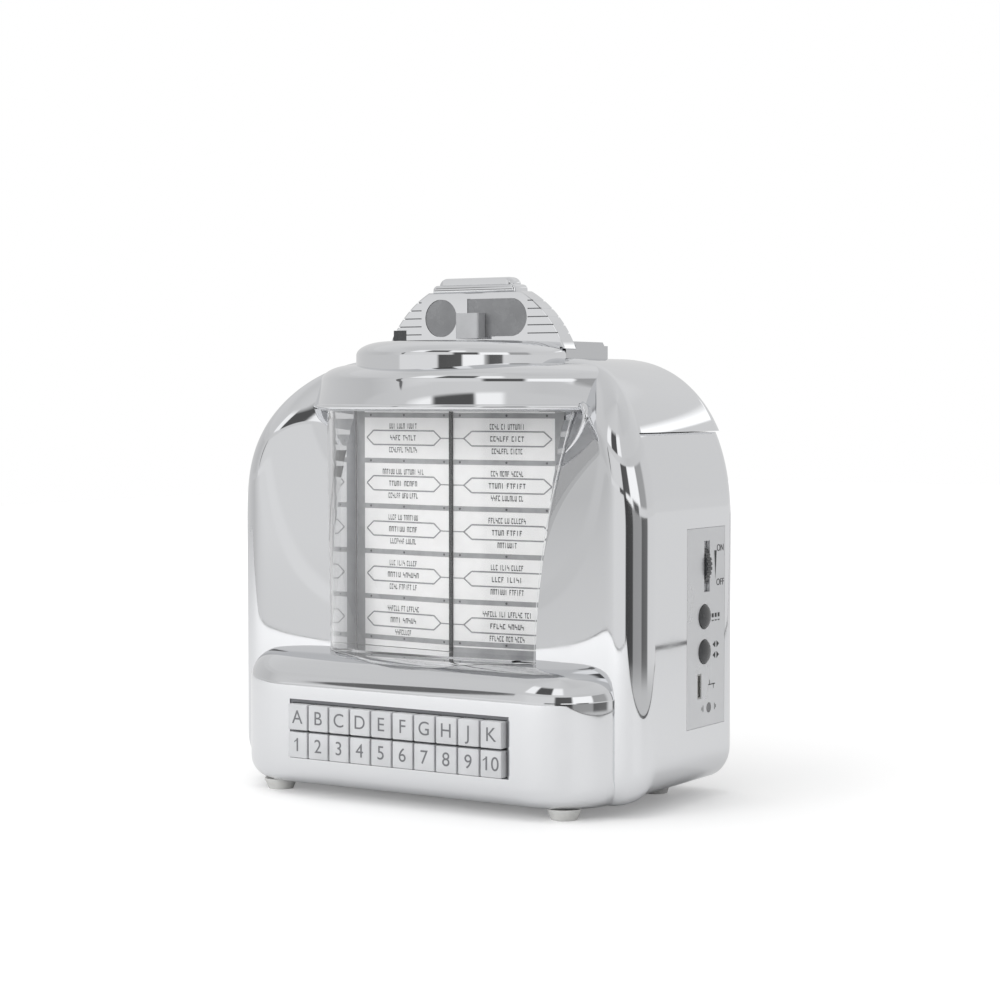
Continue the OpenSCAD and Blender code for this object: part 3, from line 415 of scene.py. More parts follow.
def half_arch(detail):
    floor, corner, side, top = 8 * detail, 6 * detail, 16 * detail, 7 * detail
    flat, r = HALF_W - FOOT_CORNER, FOOT_CORNER
    points = [(flat * i / floor, Z_FOOT, 0.0, -1.0, 0.0, FOOT_FILLET) for i in range(floor)]
    for i in range(corner + 1):
        c, s = cos(radians(-90 + 90 * i / corner)), sin(radians(-90 + 90 * i / corner))
        points.append((flat + r * c, Z_FOOT + r + r * s, c, s, 0.0, FOOT_FILLET + (SIDE_FILLET - FOOT_FILLET) * c))
    height = Z_ROOF - SHOULDER_H - r - Z_FOOT
    points += [(HALF_W, Z_FOOT + r + height * i / side, 1.0, 0.0, 0.0, SIDE_FILLET) for i in range(1, side)]
    # Steps along the shoulder follow its arc length well enough when they are even in angle
    points += [shoulder(90 * i / (28 * detail)) for i in range(28 * detail + 1)]
    roof = HALF_W - SHOULDER_W
    return points + [(roof * (1 - i / top), Z_ROOF, 0.0, 1.0, 1.0, SIDE_FILLET) for i in range(1, top + 1)]


def whole_ring(half):
    return half + [(-p[0],) + p[1:2] + (-p[2],) + p[3:] for p in half[-2:0:-1]]


def front_ring(ring, s, inset, leaning=1.0):
    turn = radians(s)
    out = []
    for p in ring:
        drop, reach = (max(p[5] + p[4] * (crown - SIDE_FILLET) - inset, 1.0) for crown in (CROWN_DROP, CROWN_REACH))
        x0, z0 = p[0] - p[2] * (drop + inset), p[1] - p[3] * (drop + inset)
        y0 = Y_FRONT + inset + leaning * lean(x0, z0)
        # The fillet starts with the slope that the cheek has where they meet
        h = 0.05
        slope = leaning * (lean(x0 + p[2] * h, z0 + p[3] * h) - lean(x0 - p[2] * h, z0 - p[3] * h)) / (2 * h)
        left = 1 - sin(turn)
        d = inset + drop * left
        y = y0 + slope * drop * sin(turn) * left + (Y_FRONT + inset + reach - y0) * (1 - cos(turn))
        out.append((p[0] - p[2] * d, y, p[1] - p[3] * d))
    return out


def rear_ring(ring, s, inset):
    turn = radians(s)
    out = []
    for p in ring:
        r = max(p[5] + p[4] * (REAR_FILLET - SIDE_FILLET) - inset, 1.0)
        d = inset + r * (1 - sin(turn))
        out.append((p[0] - p[2] * d, Y_BACK - inset - r * (1 - cos(turn)), p[1] - p[3] * d))
    return out


def front_patch(ring, rows, inset, leaning=1.0):
    z_low, z_high = 46.0, 113.0
    edge = front_ring(ring, 0, inset, leaning)
    x_low = max(abs(q[0]) for q in edge if q[2] <= z_low)
    x_high = max(abs(q[0]) for q in edge if q[2] >= z_high)
    grid = []
    for row in range(rows):
        f = row / rows
        line = []
        for x0, _, z0 in edge:
            zw = min(max(z0, z_low), z_high)
            share = abs(x0) / x_low if z0 < z_low else abs(x0) / x_high if z0 > z_high else 1.0
            xw = copysign((window_x(zw) - 3.0) * share, x0)
            x, z = xw + (x0 - xw) * f, zw + (z0 - zw) * f
            line.append((x, Y_FRONT + inset + leaning * lean(x, z), z))
        grid.append(line)
    return grid


def cabinet_form(inset, detail, leaning=1.0):
    ring = whole_ring(half_arch(detail))
    rows = front_patch(ring, 10 * detail, inset, leaning)
    rows += [front_ring(ring, 90 * j / (10 * detail), inset, leaning) for j in range(10 * detail + 1)]
    rows += [rear_ring(ring, 90 * j / (6 * detail), inset) for j in range(6 * detail, -1, -1)]
    n = len(ring)
    points = [q for row in rows for q in row]
    faces = rings_to_faces(n, len(rows))
    centre = len(points)
    points.append((0.0, sum(q[1] for q in rows[0]) / n, 80.0))
    faces += [(centre, (i + 1) % n, i) for i in range(n)]
    last = (len(rows) - 1) * n
    faces.append(tuple(last + i for i in range(n)))
    return points, faces


print("cheek behind the front, mm: at the console", cheek_depth(CONSOLE_TOP), "at the visor", cheek_depth(VISOR_Z))

# %% [markdown]
# ## Front shell
#
# The front shell is the full form, hollowed out, with the window opening cut through it and the space of the rear
# shell taken away behind the seam. The cuts are booleans on closed meshes, as a mould's cores are.

# %% Front shell
FAR = 80.0
ROOM_Z = 43.7
opening = [(window_x(z), z) for z in [ROOM_Z + (VISOR_Z - ROOM_Z) * i / 40 for i in range(41)]]
rear_room = [((-FAR, Y_SEAM, 0), (FAR, 50, ROOM_Z)), ((-FAR, Y_SEAM, 43.6), (-64.5, 50, LEDGE_Z)),
             ((64.5, Y_SEAM, 43.6), (FAR, 50, LEDGE_Z)), ((-64.6, 1.2, 43.6), (64.6, 50, LEDGE_Z))]
front_shell = loose(*cabinet_form(0.0, 2), "plated_front_shell")
cutters = [loose(*cabinet_form(WALL, 1)), loose(*prism_y(mirrored(opening), -60, 2))]
make_plated(front_shell, cutters + [loose_box(*room) for room in rear_room], "front_shell")

# %% [markdown]
# ## Rear shell
#
# The rear shell is the same form drawn in by 1.2 mm, so that it tucks under the front shell's ledge. It has a
# pocket for the control panel on its right side and one for the back panel.

# %% Rear shell
def plate_outline(w, z0, z1, r):
    corners = [(w / 2 - r, z0 + r, -90), (w / 2 - r, z1 - r, 0), (-w / 2 + r, z1 - r, 90), (-w / 2 + r, z0 + r, 180)]
    return [point for x, z, a in corners for point in arc(x, z, r, a, a + 90, 12)]


panel_low, panel_high = box_mm("control_panel")
back_low, back_high = box_mm("back_panel")
play = Vector((GAP, GAP, GAP))
pocket = loose_box(panel_low - play, (FAR, panel_high.y + GAP, panel_high.z + GAP))
back_hole = loose(*prism_y(plate_outline(116.2, back_low.z - GAP, back_high.z + GAP, 8.1), back_low.y - GAP, 50))
inner_hole = loose(*prism_y(plate_outline(94, back_low.z + 4, back_high.z - 4, 8), 30, 50))
rear_shell = loose(*cabinet_form(STEP, 2, 0.0), "plated_rear_shell")
cutters = [loose(*cabinet_form(STEP + WALL, 1, 0.0)), loose_box((-FAR, -60, 0), (FAR, Y_SEAM + 0.25, 150)),
           loose_box((-FAR, -60, LEDGE_Z - 0.4), (FAR, 60, 150)), pocket, back_hole, inner_hole]
make_plated(rear_shell, cutters, "rear_shell")

# %% [markdown]
# ## Console
#
# The console carries the keys. Its plan is a long box with round corners, and its section has a wide fillet along
# the top. Sweeping the section along the plan gives the corners their true double curve.

# %% Console
CONSOLE_FLAT, CONSOLE_Y, CONSOLE_R, CONSOLE_EDGE = 45.55, -19.1, 22.8, 10.0
# Half the width, the foot and the head of the opening for the keys
KEYS_X, KEYS_Z0, KEYS_Z1 = 41.0, 12.4, 31.2


def console_section(inset):
    r, z0, z1 = CONSOLE_R - inset, Z_FOOT + inset, CONSOLE_TOP - inset
    top, base = CONSOLE_EDGE - inset, max(7.0 - inset, 1.0)
    low, high = arc(r - base, z0 + base, base, -90, 0, 10), arc(r - top, z1 - top, top, 0, 90, 20)
    wall = [(r, low[-1][1] + (high[0][1] - low[-1][1]) * i / 8) for i in range(1, 8)]
    return [(0.0, z0)] + low + wall + high + [(0.0, z1)]


def console_form(inset):
    path = [(-CONSOLE_FLAT, 180 + 90 * i / 24) for i in range(25)]
    path += [(-CONSOLE_FLAT + 2 * CONSOLE_FLAT * i / 30, 270.0) for i in range(1, 30)]
    path += [(CONSOLE_FLAT, 270 + 90 * i / 24) for i in range(25)]
    section = console_section(inset)
    points = []
    for x, a in path:
        c, s = cos(radians(a)), sin(radians(a))
        points += [(x + r * c, CONSOLE_Y + r * s, z) for r, z in section]
    n, last = len(section), len(path)
    faces = rings_to_faces(n, last, closed=False)
    faces += [tuple(range(n)), tuple(range((last - 1) * n, last * n))]
    # One back face closes the sweep between its first and last section
    faces.append(tuple(i * n for i in range(last)) + tuple(i * n + n - 1 for i in reversed(range(last))))
    return points, faces


def weld(work):
    bmesh.ops.remove_doubles(work, verts=work.verts, dist=1e-6)
    outwards(work)


def console_solid(inset, name="cutter"):
    obj = loose(*console_form(inset), name)
    reshape(obj.data, weld)
    return obj


console = console_solid(0.0, "plated_console")
# The cheeks start a little behind the front, so the console runs on behind them by a few millimetres
make_plated(console, [loose_box((-90, Y_FRONT + 3.2, -10), (90, 60, 160)), console_solid(WALL),
                      loose_box((-KEYS_X, -60, KEYS_Z0), (KEYS_X, -30, KEYS_Z1))], "console_housing")

# %% [markdown]
# ## Visor and shelf
#
# The visor over the window is a turned form: a thin lip, a hollow cove above it and a rounded edge into the top.
# The shelf under the coin head is turned too. `turned` spins a section about an upright line. Nobody plates a face
# that can't be seen, so the visor is lined below with the bare light grey plastic.

# %% Visor and shelf
INNER_R, DECK_Z, COVE_DIP, SHELF_R, SHELF_Y = 22.0, 137.2, 0.12, 34.5, -3.3


# Spins a section to the same angle on both sides of the front, or all round
def turned(name, section, centre_y, half, steps, finish, stands_for=()):
    count = steps if half == 180 else steps + 1
    points = []
    for k in range(count):
        a = radians(-half + 2 * half * k / steps)
        points += [(r * sin(a), centre_y - r * cos(a), z) for r, z in section]
    n = len(section)
    faces = [(k * n + i, k * n + i + 1, (k + 1) % count * n + i + 1, (k + 1) % count * n + i)
             for k in range(steps) for i in range(n - 1)]
    return add_mesh(name, points, faces, finish, stands_for, 40)


def visor_section():
    lip, edge = arc(60.1, VISOR_Z + 0.9, 0.9, -90, 70, 14), arc(47.4, 131.8, 11, 0, 90, 28, 5.4)
    (r0, z0), (r1, z1) = lip[-1], edge[0]
    steps = [i / 20 for i in range(1, 20)]
    cove = [(r0 + (r1 - r0) * f - COVE_DIP * sin(pi * f), z0 + (z1 - z0) * f) for f in steps]
    return [(INNER_R, VISOR_Z)] + lip + cove + edge + [(INNER_R, DECK_Z)]


def shelf_section():
    z0, z1, rise = DECK_Z - 3.2, 140.0, 4.4
    wall = [(SHELF_R, DECK_Z + (z1 - DECK_Z) * i / 6) for i in range(6)]
    return [(0.05, z0), (SHELF_R, z0)] + wall + arc(SHELF_R - 10, z1, 10, 0, 90, 24, rise) + [(0.05, z1 + rise)]


# Behind the plate of the coin head the full disc of the shelf ends in a straight cut
def cut_back(work):
    parts = work.verts[:] + work.edges[:] + work.faces[:]
    bmesh.ops.bisect_plane(work, geom=parts, plane_co=Vector((0, 3.4, 0)) * MM, plane_no=(0, 1, 0), clear_outer=True)


visor = turned("plated_visor", visor_section(), GLASS_Y, 69, 190, chrome, ["visor"])
liner_section = rectangle(INNER_R, 122.4, 58.6, 122.75) + [(INNER_R, 122.4)]
turned("visor_liner", liner_section, GLASS_Y, 60, 120, key_plastic)
shelf = turned("plated_shelf", shelf_section(), SHELF_Y, 180, 240, chrome, ["coin_shelf"])
reshape(shelf.data, cut_back)
print("visor and shelf points:", len(visor.data.vertices), len(shelf.data.vertices))

# %% [markdown]
# ## Bead at the visor's end
#
# At the right end the visor's lip runs on as a small bead, which hooks down over the cheek to the edge of the window.
# It is a round tube that gets thinner, laid along the cheek's surface and half sunk in it. The left end has none.

# %% Bead
BEAD_PATH = [(50.4, 124.1), (51.9, 123.4), (52.9, 121.6), (52.7, 119.4), (51.6, 116.8), (49.9, 114.2), (47.8, 111.9),
             (45.6, 110.0)]
BEAD_STEPS, BEAD_SIDES = 6, 20


def curve_through(path, steps):
    last, fine = len(path) - 1, []
    for k in range(last):
        near = path[max(k - 1, 0)], path[k], path[k + 1], path[min(k + 2, last)]
        for t in [j / steps for j in range(steps)]:
            fine.append(tuple(0.5 * (2 * b + (c - a) * t + (2 * a - 5 * b + 4 * c - d) * t * t +
                                     (3 * b - a - 3 * c + d) * t ** 3) for a, b, c, d in zip(*near)))
    return fine + [path[-1]]


fine = curve_through(BEAD_PATH, BEAD_STEPS)
points = []
for k, (x, z) in enumerate(fine):
    thick = 1.5 - 1.1 * k / (len(fine) - 1)
    (xa, za), (xb, zb) = fine[max(k - 1, 0)], fine[min(k + 1, len(fine) - 1)]
    along = hypot(xb - xa, zb - za)
    ax, az = (xb - xa) / along, (zb - za) / along
    y = Y_FRONT + lean(x, min(z, VISOR_Z)) + 0.2
    for a in [2 * pi * i / BEAD_SIDES for i in range(BEAD_SIDES)]:
        points.append((x - az * thick * cos(a), y + thick * sin(a), z + ax * thick * cos(a)))
add_mesh("plated_bead_right", points, rings_to_faces(BEAD_SIDES, len(fine)), chrome, (), 60)
print("bead points:", len(points))

# %% [markdown]
# ## Window
#
# The window is one bent sheet. Its lower edge follows the console's rounded top and its sides end at the cheeks. A
# clear part must be a closed solid with two true surfaces, or the light would bend wrongly on its way through. It is
# sawn from a larger sheet, so its rim is matt and pale where its faces are clear.

# %% Window
ACROSS, UP = 96, 60


def console_height(y):
    depth = CONSOLE_Y - (CONSOLE_R - CONSOLE_EDGE) - y
    if depth <= 0:
        return CONSOLE_TOP
    return CONSOLE_TOP - CONSOLE_EDGE + sqrt(max(CONSOLE_EDGE ** 2 - depth * depth, 0.0))


def window_point(r, i, j):
    share = 2 * i / ACROSS - 1
    z = 44.0 + (VISOR_Z - 44.0) * j / UP
    # The width depends on the height and the foot on the width, so both settle in a few rounds
    for _ in range(3):
        angle = share * asin((window_x(z) - 0.25) / GLASS_R)
        foot = console_height(GLASS_Y - GLASS_R * cos(angle)) + 0.08
        z = foot + (VISOR_Z - 0.05 - foot) * j / UP
    return r * sin(angle), GLASS_Y - r * cos(angle), z


def window_sheet():
    faces_r = (GLASS_R, GLASS_R - GLASS_T)
    points = [window_point(r, i, j) for r in faces_r for j in range(UP + 1) for i in range(ACROSS + 1)]
    row, sheet = ACROSS + 1, (ACROSS + 1) * (UP + 1)
    faces = []
    for j in range(UP):
        for i in range(ACROSS):
            a, b, c, d = j * row + i, j * row + i + 1, (j + 1) * row + i + 1, (j + 1) * row + i
            faces += [(a, b, c, d), (sheet + d, sheet + c, sheet + b, sheet + a)]
    rim = list(range(row)) + [j * row + ACROSS for j in range(1, UP + 1)]
    rim += [UP * row + i for i in range(ACROSS - 1, -1, -1)] + [j * row for j in range(UP - 1, 0, -1)]
    return points, faces + [(b, a, sheet + a, sheet + b) for a, b in zip(rim, rim[1:] + rim[:1])]


window = add_mesh("bent_window", *window_sheet(), clear, ["window_glass"], 40)
window.data.materials.append(sawn_edge)
for face in window.data.polygons:
    face.material_index = 1 if face.index >= 2 * ACROSS * UP else 0
print("window points:", len(window.data.vertices))

# %% [markdown]
# ## Coin head
#
# The half round plate has speed ribs at both sides. It is one plated slab with soft edges, and thin grooves cut it into
# ribs. A grey strip in the floor of each groove is painted shade, which draws the grooves as thin grey lines. The
# middle is flat, with sunk places for the inserts.

# %% Coin head
HEAD_Y0, HEAD_Y1, HEAD_R, HEAD_Z, HEAD_FOOT, CAP_Z = 2.3, 9.9, 36.5, 128.5, 142.0, 160.5
GROOVE_X, GROOVE_HALF, GROOVE_DEPTH = 20.3, 0.17, 1.3
INSERT_Z, INSERT_R = 152.2, 6.1


def slab(name, outline, y0, y1, edge, finish, stands_for=(), cutters=(), segments=3):
    obj = loose(*prism_y(outline, y0, y1), name)

    def soften(work):
        rim = [e for e in work.edges for y in (y0, y1) if all(abs(v.co.y - y * MM) < 1e-7 for v in e.verts)]
        bmesh.ops.bevel(work, geom=rim, offset=edge * MM, segments=segments, profile=0.5, affect="EDGES")
        # A thin inset holds the flat faces flat, so that only the soft edge bends the light
        flats = [f for f in work.faces if abs(f.normal.y) > 0.999]
        bmesh.ops.inset_individual(work, faces=flats, thickness=0.06 * MM)

    if edge:
        reshape(obj.data, soften)
    if cutters:
        cut(obj, cutters)
    finish_mesh(obj, finish, stands_for, 10 if cutters else 40)


def head_x(z):
    return sqrt(HEAD_R ** 2 - (z - HEAD_Z) ** 2)


round_hole = arc(-12.7, INSERT_Z, INSERT_R, 0, 360, 64)[:-1]
long_hole = arc(13.9, INSERT_Z, INSERT_R, -90, 90, 32) + [(-2.5, INSERT_Z + INSERT_R), (-2.5, INSERT_Z - INSERT_R)]
cutters = [loose(*prism_y(hole, 0, HEAD_Y0 + 1)) for hole in (round_hole, long_hole)]
cutters.append(loose_box((-31.6, 0, 144.4), (-26.3, HEAD_Y0 + 1, 148.6)))
for k, side in [(k, side) for k in range(5) for side in (-1, 1)]:
    z = CAP_Z - 3.1 - 2.6 * k
    z0, z1, end = z - GROOVE_HALF, z + GROOVE_HALF, head_x(z)
    for x, y1 in ((GROOVE_X, HEAD_Y0 + GROOVE_DEPTH), (end - 0.7, 12)):
        low_x, high_x = sorted((side * x, side * 45))
        cutters.append(loose_box((low_x, 0, z0), (high_x, y1, z1)))
    x0, x1 = sorted((side * (GROOVE_X + 0.1), side * (end - 0.75)))
    # A grey strip in the groove's floor, painted shade of the groove
    slab("groove_%s_%d" % ("left" if side < 0 else "right", k + 1), rectangle(x0, z0, x1, z1),
         HEAD_Y0 + 0.3, HEAD_Y0 + GROOVE_DEPTH, 0, print_and_shade_grey)
low, high = (degrees(asin((z - HEAD_Z) / HEAD_R)) for z in (HEAD_FOOT, CAP_Z))
half_round = mirrored(arc(0, HEAD_Z, HEAD_R, low, high, 48))
slab("head_plate", half_round, HEAD_Y0, HEAD_Y1, 0.5, chrome, ["coin_head"], cutters, 4)
print("half width of the plate at its foot, mm:", round(head_x(HEAD_FOOT), 2))

# %% Cap
def cap_outline(base, z0, z1, r):
    return mirrored([(base, z0)] + arc(base - r, z1 - r, r, 0, 90, 12))


slab("head_cap_lower", cap_outline(15.8, CAP_Z - 0.4, CAP_Z + 2.3, 1.6), HEAD_Y0 - 0.5, HEAD_Y1 + 0.5, 1.1, chrome,
     ["head_cap"], segments=6)
slab("head_cap_upper", cap_outline(14.4, CAP_Z + 1.6, CAP_Z + 4.6, 2.7), HEAD_Y0 + 0.2, HEAD_Y1 - 0.2, 2.4, chrome,
     segments=8)

# %% [markdown]
# ## Keys
#
# Each key is its own moulding, so each has its own mesh and rides on its own body. A key is a box with a small soft
# edge all round, made with a bevel. The letter or number is printed on its face as Blender text. A grey frame in the
# gap between the block of keys and the edge of their opening is painted shade.

# %% Keys
KEY_NAMES = [("key_" + c, c.upper()) for c in "abcdefghjk"] + [("key_%d" % i, str(i)) for i in range(1, 11)]
KEY_HALF_X, KEY_HALF_Z, KEY_DEPTH, LETTER = 3.70, 4.06, 5.3, 6.1
# The plain font's figure 1 is a bare stroke, so it gets its flag here
FLAG = [(-1.0, 0.75), (0.1, 1.55), (0.1, 2.0), (-1.0, 1.2)]


def soft_box(name, low, high, edge, finish, stands_for=(), body="cabinet"):
    def shape(work):
        bmesh.ops.create_cube(work, size=1.0)
        for v in work.verts:
            v.co = Vector([(a + b) / 2 + c * (b - a) for a, b, c in zip(low, high, v.co)]) * MM
        bmesh.ops.bevel(work, geom=list(work.edges), offset=edge * MM, segments=3, profile=0.5, affect="EDGES")

    obj = new_object(name, bpy.data.meshes.new(name))
    reshape(obj.data, shape)
    finish_mesh(obj, finish, stands_for, 50, body)


def print_text(name, words, place_mm, size, finish, turn=0, body="cabinet"):
    curve = bpy.data.curves.new(name, "FONT")
    curve.body = words
    curve.size, curve.extrude = size * MM, 0.03 * MM
    curve.align_x, curve.align_y = "CENTER", "CENTER"
    curve.materials.append(finish)
    obj = new_object(name, curve)
    obj.location = Vector(place_mm) * MM
    obj.rotation_euler = (radians(90), 0, radians(turn))
    bpy.context.view_layer.update()
    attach(obj, body)


corners = []
for node, mark in KEY_NAMES:
    low, high = box_mm(node)
    corners += [low, high]
    x, z = (low.x + high.x) / 2, (low.z + high.z) / 2
    soft_box(node + "_cap", (x - KEY_HALF_X, Y_KEYS + 0.05, z - KEY_HALF_Z),
             (x + KEY_HALF_X, Y_KEYS + KEY_DEPTH, z + KEY_HALF_Z), 0.35, key_plastic, [node], node)
    print_text(node + "_mark", mark, (x, Y_KEYS + 0.04, z - 0.1), LETTER, print_and_shade_grey, body=node)
    if mark.startswith("1"):
        shift = x - 0.2 if mark == "1" else x - 1.75
        flag = [(shift + dx, Y_KEYS + 0.02, z + dz) for dx, dz in FLAG]
        add_mesh(node + "_flag", flag, [(0, 1, 2, 3)], print_and_shade_grey, body=node)
kx, kz0, kz1 = max(c.x for c in corners) + GAP, min(c.z for c in corners) - GAP, max(c.z for c in corners) + GAP
# The grey frame is painted shade, where the gap around the keys lies in shadow
for name, x0, x1, z0, z1 in (("top", -KEYS_X, KEYS_X, kz1, KEYS_Z1), ("foot", -KEYS_X, KEYS_X, KEYS_Z0, kz0),
                             ("left", -KEYS_X, -kx, kz0, kz1), ("right", kx, KEYS_X, kz0, kz1)):
    soft_box("key_frame_" + name, (x0, -41.45, z0), (x1, -40.4, z1), 0.08, print_and_shade_grey)
print("keys:", len(KEY_NAMES), "block reaches x", round(kx, 2), "z", round(kz0, 2), "to", round(kz1, 2))

# %% [markdown]
# ## Title pages
#
# Behind the window two printed cards meet at a dark spine. The print is thin ink, so it is made as flat shapes a few
# hundredths of a millimetre in front of the card. The titles on the real cards are words. Here their places hold
# made-up signs in the same size and rhythm, inside the same six sided frames. A place on a page is given by its
# distance from the spine and its height.

# %% Printed shapes on the pages, and one painted shadow
PAGE_Y, PAGE_TAN = -10.6, tan(radians(5.0))
INK = {"bands": ([], []), "grey": ([], []), "lines": ([], []), "text": ([], [])}
# Letters in each word of a strip's three lines
TITLE_WORDS = [[(3, 4, 5), (4, 5), (7, 6)], [(6, 3, 6, 3), (5, 5), (6, 3, 4)], [(4, 2, 7), (6, 4), (7, 5)],
               [(3, 4, 5), (5, 6), (4, 6, 2)], [(6, 2, 6), (4, 5), (8,)]]
# Each sign is a few strokes in a cell one wide and one high: upright, flat, or both
STEM, FOOT_BAR, HEAD_BAR = (0, 0, 0.2, 1), (0, 0, 0.7, 0.2), (0, 0.8, 0.7, 1)
SIGNS = [[STEM, (0.55, 0, 0.75, 1), (0, 0.8, 0.75, 1)], [STEM, FOOT_BAR], [(0.28, 0, 0.48, 1), (0, 0.8, 0.76, 1)],
         [STEM, FOOT_BAR, HEAD_BAR], [STEM, (0.55, 0, 0.75, 1), (0, 0, 0.75, 0.2)],
         [(0, 0.4, 0.2, 1), (0.55, 0, 0.75, 0.6), (0, 0.4, 0.75, 0.6)], [(0.2, 0, 0.4, 1)],
         [STEM, HEAD_BAR, (0, 0.4, 0.5, 0.6)]]
STRIP, STRIP_MID, HEX_HALF = 14.78, 19.8, 2.3
BAND_Z = [121.0 - STRIP * i for i in range(5)] + [48.6]


def ink(sheet, side, corners, lift):
    points, faces = INK[sheet]
    face = tuple(range(len(points), len(points) + len(corners)))
    points += [(side * u, PAGE_Y + u * PAGE_TAN - lift, z) for u, z in corners]
    faces.append(face if side > 0 else face[::-1])


def ink_path(side, path, width):
    for (u0, z0), (u1, z1) in zip(path, path[1:]):
        half = width / 2 / hypot(u1 - u0, z1 - z0)
        nu, nz = -(z1 - z0) * half, (u1 - u0) * half
        ink("lines", side, [(u0 - nu, z0 - nz), (u1 - nu, z1 - nz), (u1 + nu, z1 + nz), (u0 + nu, z0 + nz)], 0.06)


def title_words(side, lengths, z_mid, height, letter):
    # The left page counts away from the spine too, so its signs are laid out from the right to read the right way
    u, foot = STRIP_MID - (sum(lengths) + (len(lengths) - 1) * 0.7) * letter / 2, z_mid - height / 2
    for place, count in enumerate(lengths):
        for k in range(count):
            sign = SIGNS[(k * k * 5 + 3 * k + 11 * place * (k + 2) + 7 * count + int(z_mid * 1.7)) % len(SIGNS)]
            cell = u + k * letter
            for x0, z0, x1, z1 in sign:
                a, b = cell + x0 * letter, cell + x1 * letter
                if side < 0:
                    a, b = 2 * STRIP_MID - b, 2 * STRIP_MID - a
                ink("text", side, rectangle(a, foot + z0 * height, b, foot + z1 * height), 0.07)
        u += (count + 0.7) * letter


def title_strip(side, z_top, words):
    mid = z_top - 7.4
    top, base = mid + HEX_HALF, mid - HEX_HALF
    ink_path(side, [(0.6, mid), (4.4, mid)], 0.35)
    ink_path(side, [(4.4, mid), (7.2, top), (32.4, top), (35.2, mid), (32.4, base), (7.2, base), (4.4, mid)], 0.45)
    for line, z, height, letter in ((0, z_top - 3.6, 1.75, 0.86), (1, mid, 1.7, 1.12), (2, z_top - 11.3, 1.75, 0.86)):
        title_words(side, words[line], z, height, letter)


for side in (-1, 1):
    ink("grey", side, rectangle(36.2, 45.8, 39.7, 122.1), 0.03)
    for z in BAND_Z:
        ink("bands", side, rectangle(0.7, z - 0.9, 39.7, z + 0.7), 0.05)
        for u in (3.0, 19.5, 33.5):
            ink("text", side, arc(u, z - 0.1, 0.4, 0, 360, 8)[:-1], 0.08)
    for number, z in enumerate(BAND_Z[:5]):
        title_strip(side, z, TITLE_WORDS[(number + side + 1) % 5])
# This grey band across the foot of the right page is a painted shadow of the holder along its edge
ink("grey", 1, rectangle(0.7, 44.6, 36.2, 47.2), 0.04)
# The grey sheet holds the printed margins and the painted shadow at the right page's foot
for sheet, finish in (("bands", card_grey), ("grey", card_grey), ("lines", card_line), ("text", card_text)):
    add_mesh("page_ink_" + sheet, *INK[sheet], finish)
print("printed shapes:", sum(len(faces) for _, faces in INK.values()))

# %% [markdown]
# ## Marks on the control panel
#
# The panel's marks are screen printed. ON and OFF stand at the ends of the wheel's slot with a wedge that swells
# towards loud, as on any radio. The real one has words by the other controls. Here the mode button gets a row of
# dots with bars under them, the scan button double arrows, the inlet a plug and the lamp a wave at each side.

# %% Panel marks
PRINT_X, STROKE = panel_high.x + 0.03, 0.35


def panel_shape(name, corners):
    add_mesh(name, [(PRINT_X, y, z) for y, z in corners], [tuple(range(len(corners)))], print_dark)


def panel_bar(name, y, z, w, h):
    panel_shape(name, rectangle(y - w / 2, z - h / 2, y + w / 2, z + h / 2))


print_text("mark_on", "ON", (PRINT_X, 29.6, 79.2), 3.0, print_dark, 90)
print_text("mark_off", "OFF", (PRINT_X, 29.6, 68.4), 3.0, print_dark, 90)
panel_shape("mark_wedge", [(26.3, 69.4), (27.1, 78.6), (25.5, 78.6)])
for k, y in enumerate((24.6, 26.6, 28.6)):
    panel_bar("mark_mode_%d" % k, y, 58.2, 1.3, 1.3)
    panel_bar("mark_mode_line_%d" % k, y, 56.6, 1.3, STROKE)
for k, z in enumerate((49.0, 45.6)):
    panel_shape("mark_scan_left_%d" % k, [(24.6, z), (26.4, z - 1.1), (26.4, z + 1.1)])
    panel_shape("mark_scan_right_%d" % k, [(29.0, z), (27.2, z + 1.1), (27.2, z - 1.1)])
for k, bar in enumerate([(24.0, 36.6, 4.6, STROKE), (22.6, 37.3, STROKE, 1.4), (25.2, 35.9, STROKE, 1.4)]):
    panel_bar("mark_plug_%d" % k, *bar)
for k, (y, h) in enumerate([(17.4, 1.0), (18.2, 2.0), (26.0, 2.0), (26.8, 1.0)]):
    panel_bar("mark_signal_%d" % k, y, 29.4, STROKE, h)

# %% [markdown]
# ## Finishes on the solid parts
#
# Every other part keeps its solid, whose shape is right as it is. It only needs its finish. Parts inside the case get
# theirs too, because they show through the grille, the slots and the window. Each screw of the back shows a cross for
# the driver as two dark strokes a little above its head, painted shade in place of the recess.

# %% Finishes on the solid parts
SOLID_FINISH = {
    head_chrome: ["head_housing"], chrome: ["page_bay"], satin_panel: ["control_panel"], back_plastic: ["back_panel"],
    black_plastic: ["key_carrier", "tact_switches", "speaker_frame", "battery_cradle"],
    silicone: ["key_pad"], laminate: ["key_board", "side_board", "main_board", "volume_pot"],
    steel: ["key_screws", "case_screws", "usb_socket", "speaker_magnet"], insert_grey: ["coin_disc", "price_plate"],
    slot_grey: ["slot_block"], dark_gloss: ["return_pane", "page_spine", "volume_wheel", "mode_button", "scan_button"],
    card: ["page_left", "page_right"], lens: ["indicator_lens"], paper_cone: ["speaker_cone"],
    cell_sleeve: ["battery_cell"], foot_rubber: ["feet"],
}
for finish, names in SOLID_FINISH.items():
    for solid in [nodes[name] for name in names]:
        if not solid.material_slots:
            solid.data.materials.append(finish)
        for slot in solid.material_slots:
            slot.material = finish

